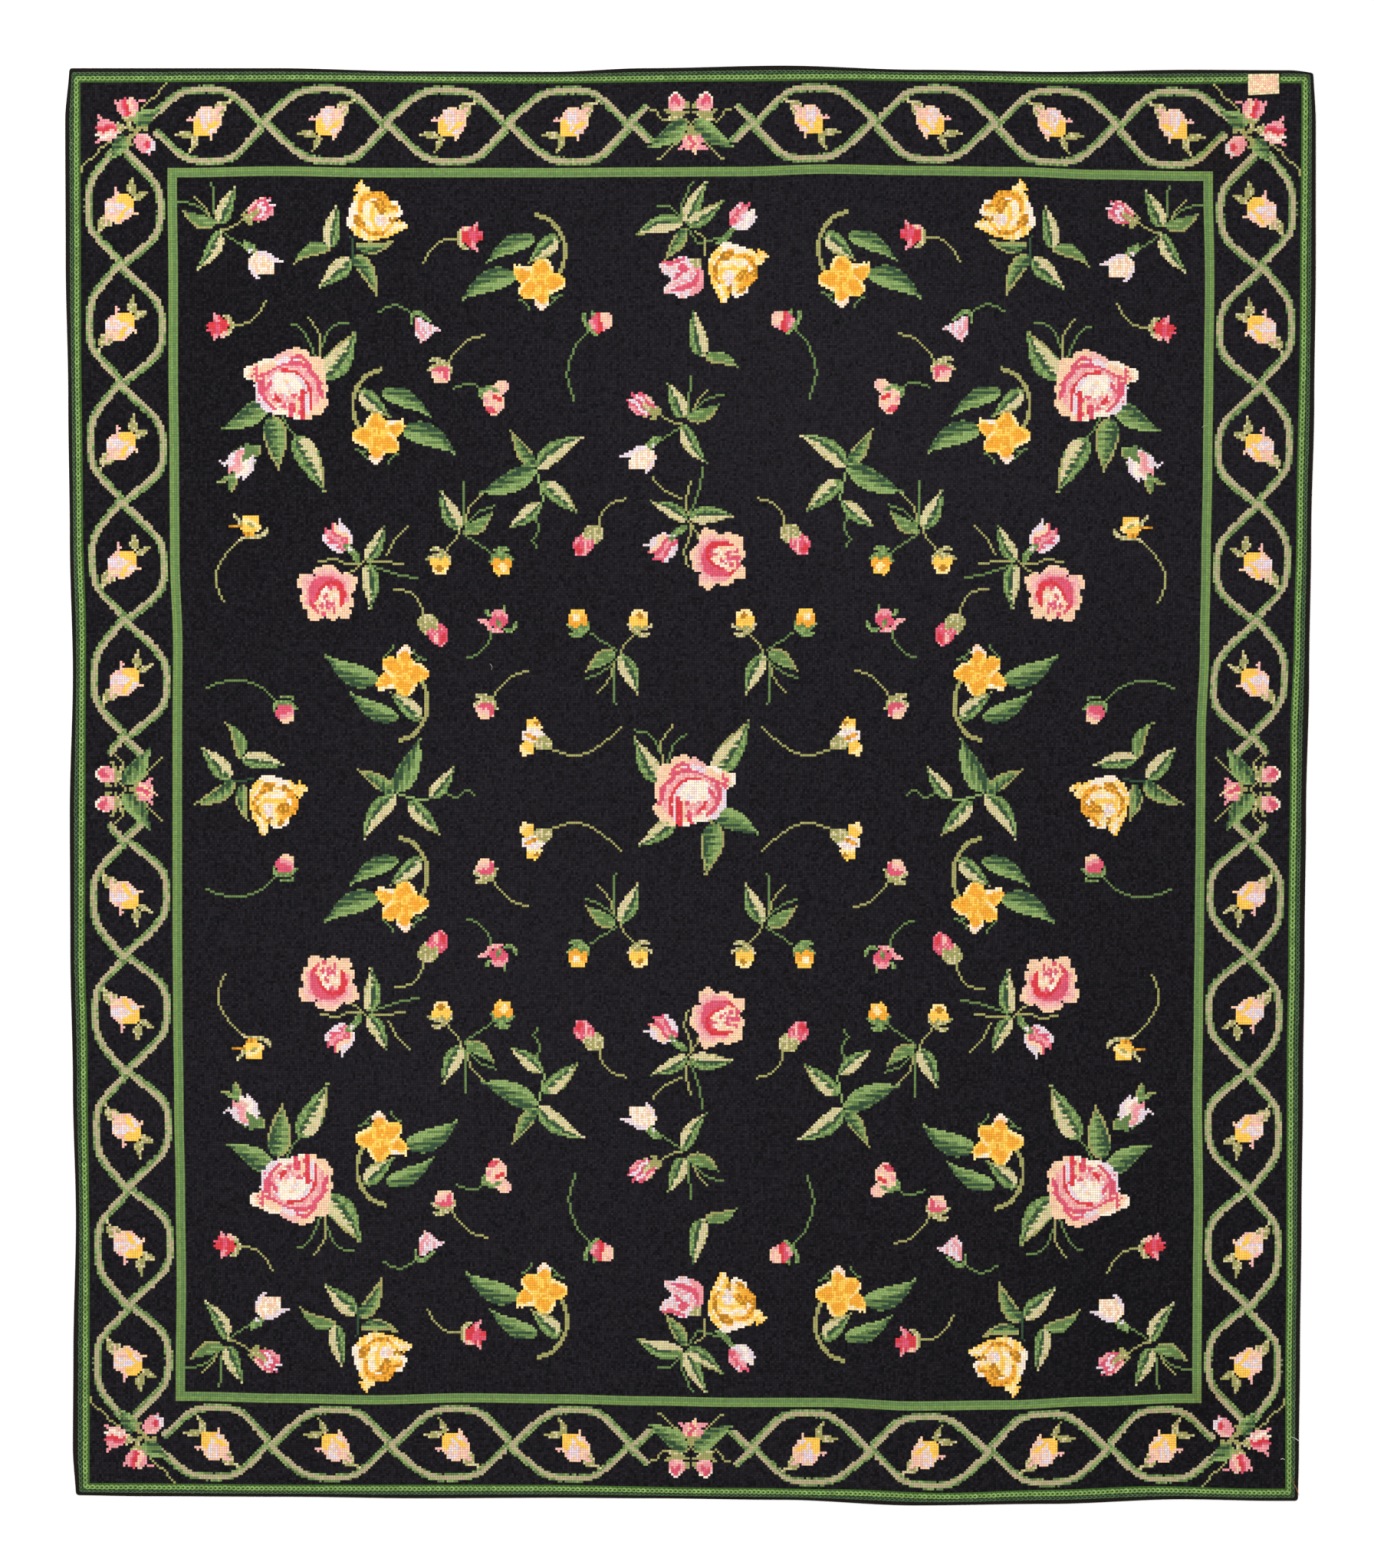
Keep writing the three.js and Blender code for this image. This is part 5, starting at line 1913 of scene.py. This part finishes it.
@dataclass
class SewnPatch:
    """The small blank patch of cream and peach stitches that is sewn over the stripes of one corner."""

    finish: bpy.types.Material
    node: str = "sewn_patch"
    name: str = "stitched_patch"
    columns: int = 14
    rows: int = 9
    width: float = 61.0
    length: float = 40.6
    thickness: float = 1.0
    relief: float = 0.55
    turn: float = 0.012
    skew: float = 1.3
    curl: float = 0.8
    scallop: float = 0.35
    uneven: float = 0.06
    cells: int = 3
    wools: tuple[str, ...] = (Wool.PALE.value, "#f3dcae", Wool.PEACH.value, "#f2b79c")
    seed: int = SEED + 2

    def build(self) -> bpy.types.Object:
        """Returns:
            The patch.
        """
        low, high = (Vector(corner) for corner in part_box(self.node))
        shell, _ = closed_sheet(self.columns * self.cells, self.rows * self.cells)
        mesh = finished_mesh(shell, self.name)
        middle = (low + high) / 2
        u, v = self._shape(mesh, (middle.x, middle.y, low.z))
        self._colour(mesh, u, v)
        patch = add_object(self.name, mesh, self.finish)
        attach(patch, BODY)
        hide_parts(self.node)
        self.width * MM
        log.info("patch: %d by %d stitches", self.columns, self.rows)
        return patch

    def _shape(self, mesh: bpy.types.Mesh, place: tuple[float, float, float]) -> tuple[Array, Array]:
        """Raises the patch's stitches, and skews and curls it.

        Args:
            mesh: the patch, from -1 to 1 both ways, its feet at -1.
            place: the middle of its underside, in metres.

        Returns:
            How far across and how far up the patch each point lies, from 0 to 1.
        """
        flat = points_of(mesh)
        u, v = (flat[:, 0] + 1) / 2, (flat[:, 1] + 1) / 2
        stitch = np.abs(np.sin(u * math.pi * self.columns) * np.sin(v * math.pi * self.rows)) ** 0.7
        rim = np.minimum(np.minimum(u, 1 - u) * self.columns, np.minimum(v, 1 - v) * self.rows) < 0.01
        x = (u - 0.5) * self.width + np.where(rim, self.scallop * np.sin(v * math.pi * 2 * self.rows), 0)
        y = (v - 0.5) * self.length + np.where(rim, self.scallop * np.sin(u * math.pi * 2 * self.columns), 0)
        y += (1 - v) * self.skew * (2 * u - 1)
        curl = self.curl * (u * (1 - v)) ** 2
        z = np.where(flat[:, 2] < BELOW_FACE, curl * 0.8, self.thickness + curl + self.relief * stitch)
        turned_x = x * math.cos(self.turn) - y * math.sin(self.turn)
        turned_y = x * math.sin(self.turn) + y * math.cos(self.turn)
        placed = np.column_stack([turned_x, turned_y, z]) * MM + np.array(place)
        mesh.vertices.foreach_set("co", placed.ravel())
        return u, v

    def _colour(self, mesh: bpy.types.Mesh, u: Array, v: Array) -> None:
        """Gives the patch a pale rim and blank, mottled stitches inside it.

        Args:
            mesh: the patch.
            u: how far across the patch each point lies, from 0 to 1.
            v: how far up it lies.
        """
        draw = np.random.default_rng(self.seed)
        corners = FaceCorners(mesh)
        column = np.clip(corners.mean(u) * self.columns, 0, self.columns - 1).astype(int)
        row = np.clip(corners.mean(v) * self.rows, 0, self.rows - 1).astype(int)
        inside = np.minimum(column, self.columns - 1 - column)
        edge = np.minimum(inside, np.minimum(row, self.rows - 1 - row)) < 1
        stitches = (self.rows, self.columns)
        inner = draw.integers(1, len(self.wools), stitches)
        outer = draw.integers(0, 2, stitches)
        pick = np.where(edge, outer[row, column], inner[row, column])
        shade = (1 + self.uneven * draw.normal(size=stitches))[row, column]
        palette = np.array([linear(wool) for wool in self.wools])
        corners.paint(np.clip(palette[pick] * shade[:, None], 0, 1))
        corners.put_on_chart(u * self.columns, -v * self.rows)
        mesh.update()


@dataclass(frozen=True)
class Thread:
    """A loose thread on the rug: its points in millimetres, its colour and its half thickness."""

    points: tuple[Point, ...]
    colour: str
    half: float


@dataclass
class LooseThreads:
    """The few loose threads and bits of lint that lie on the rug."""

    cloth: Cloth
    finish: bpy.types.Material
    name: str = "loose_threads"
    sides: int = 5
    clearance: float = 0.2
    threads: tuple[Thread, ...] = (
        Thread(((1172, -1273), (1180, -1275), (1189, -1281)), "#f2ece0", 0.5),
        Thread(((1154, -1317), (1158, -1316), (1162, -1318)), "#efe6d8", 0.5),
        Thread(((1168, -1336), (1174, -1352), (1183, -1371), (1190, -1388)), "#c87f36", 0.4),
        Thread(((-392, 238), (-388, 233), (-389, 226)), "#d9d3c6", 0.35),
        Thread(((1000, 700), (1006, 704), (1013, 703)), "#cfc8ba", 0.3),
        Thread(((-1212, 1258), (-1206, 1254), (-1199, 1255)), "#d9cfa8", 0.45),
    )

    def build(self) -> bpy.types.Object:
        """Returns:
            The piece.
        """
        shell = bmesh.new()
        tints: list[tuple[float, ...]] = []
        for thread in self.threads:
            before = len(shell.faces)
            self._spin_thread(shell, thread)
            tints += [linear(thread.colour)] * (len(shell.faces) - before)
        mesh = finished_mesh(shell, self.name)
        FaceCorners(mesh).paint(np.array(tints))
        piece = add_object(self.name, mesh, self.finish)
        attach(piece, BODY)
        log.info("loose threads: %d", len(self.threads))
        return piece

    def _spin_thread(self, shell: bmesh.types.BMesh, thread: Thread) -> None:
        """Adds one thread as a closed tube that lies on the cloth.

        Args:
            shell: the mesh to add it to.
            thread: the thread.
        """
        path = curve(thread.points, steps=6)
        places = [Vector((x, y, self._top(x, y) + thread.half + self.clearance)) * MM for x, y in path]
        ring = bmesh.ops.create_circle(shell, cap_ends=True, segments=self.sides,
                                       radius=thread.half * MM)["verts"]
        facing = (places[1] - places[0]).to_track_quat("Z", "Y").to_matrix().to_4x4()
        bmesh.ops.transform(shell, matrix=Matrix.Translation(places[0]) @ facing, verts=ring)
        edges = list(ring[0].link_faces[0].edges)
        for before, after in zip(places, places[1:]):
            grown = bmesh.ops.extrude_edge_only(shell, edges=edges)["geom"]
            verts = [part for part in grown if isinstance(part, bmesh.types.BMVert)]
            bmesh.ops.translate(shell, verts=verts, vec=after - before)
            edges = [edge for edge in shell.edges if edge.is_boundary]
        bmesh.ops.contextual_create(shell, geom=edges)
        bmesh.ops.recalc_face_normals(shell, faces=shell.faces)

    def _top(self, x: float, y: float) -> float:
        """The height of the cloth's face at a place, in millimetres."""
        across = x / self.cloth.stitch_across + self.cloth.columns / 2
        down = self.cloth.rows / 2 - y / self.cloth.stitch_down
        return float(self.cloth.lay(np.array([across]), np.array([down]))[0, 2])


@dataclass(frozen=True)
class Lamp:
    """A square soft light that shines at the rug's middle: its place and side in metres, and its watts."""

    name: str
    place: tuple[float, float, float]
    size: float
    power: float

    def hang(self) -> None:
        """Hangs the light."""
        lamp = bpy.data.lights.new(self.name, "AREA")
        lamp.size = self.size
        lamp.energy = self.power
        light = bpy.data.objects.new(self.name, lamp)
        light.location = self.place
        light.rotation_euler = (-Vector(self.place)).to_track_quat("-Z", "Y").to_euler()
        bpy.context.scene.collection.objects.link(light)


@dataclass(frozen=True)
class Studio:
    """A pale floor, soft lights and the camera straight above, as in the photograph."""

    floor_half: float = 6.0
    floor_colour: str = "#f4f3f1"
    camera_height: float = 8.52
    camera_middle: Point = (-6.75, 3.0)
    lens: float = 100.0
    sight: float = 50.0
    room_light: float = 0.50
    lamps: tuple[Lamp, ...] = (
        Lamp("overhead", (0.0, 0.0, 6.0), 9.0, 490.0),
        Lamp("upper_left", (-4.5, 4.5, 4.0), 3.0, 230.0),
    )

    def build(self) -> None:
        """Builds the floor, the lights and the camera."""
        self._floor()
        for lamp in self.lamps:
            lamp.hang()
        scene = bpy.context.scene
        scene.world = bpy.data.worlds.new("soft_room")
        scene.world.use_nodes = True
        room = scene.world.node_tree.nodes["Background"].inputs
        room["Color"].default_value = (1.0, 1.0, 1.0, 1.0)
        room["Strength"].default_value = self.room_light
        scene.view_settings.view_transform = "Standard"
        camera = bpy.data.objects.new("camera", bpy.data.cameras.new("camera"))
        camera.data.lens = self.lens
        camera.data.clip_end = self.sight
        camera.location = (self.camera_middle[0] * MM, self.camera_middle[1] * MM, self.camera_height)
        scene.collection.objects.link(camera)
        scene.camera = camera
        log.info("studio: floor, %d lights and the camera", len(self.lamps))

    def _floor(self) -> None:
        """Builds the floor that the rug lies on."""
        shell = bmesh.new()
        bmesh.ops.create_grid(shell, x_segments=4, y_segments=4, size=self.floor_half)
        nodes = Nodes("pale_floor")
        grain = nodes.noise(nodes.add("ShaderNodeTexCoord", {}, {}).outputs["Object"], 1.5)
        plain = nodes.add("ShaderNodeRGB", {}, {})
        plain.outputs[0].default_value = (*linear(self.floor_colour), 1.0)
        paper = nodes.scaled(plain.outputs[0], grain * 0.01 + 0.995)
        floor = add_object("floor", finished_mesh(shell, "floor", smooth=False),
                           nodes.finish(paper, 0.9, grain, 0.0))


def main() -> None:
    """Builds the whole rug and its setting."""
    logging.basicConfig(level=logging.INFO, format="%(message)s")
    cloth = Cloth()
    chart = Pattern().work()
    colours = StitchColours(chart, cloth).make()
    cross_stitch = CrossStitchFinish().make()
    plaited = PlaitFinish().make()
    StitchedCloth(cloth, colours, cross_stitch).build()
    HemPlaits(cloth, plaited).build()
    SewnPatch(cross_stitch).build()
    LooseThreads(cloth, plaited).build()
    Studio().build()


if __name__ == "__main__":
    main()
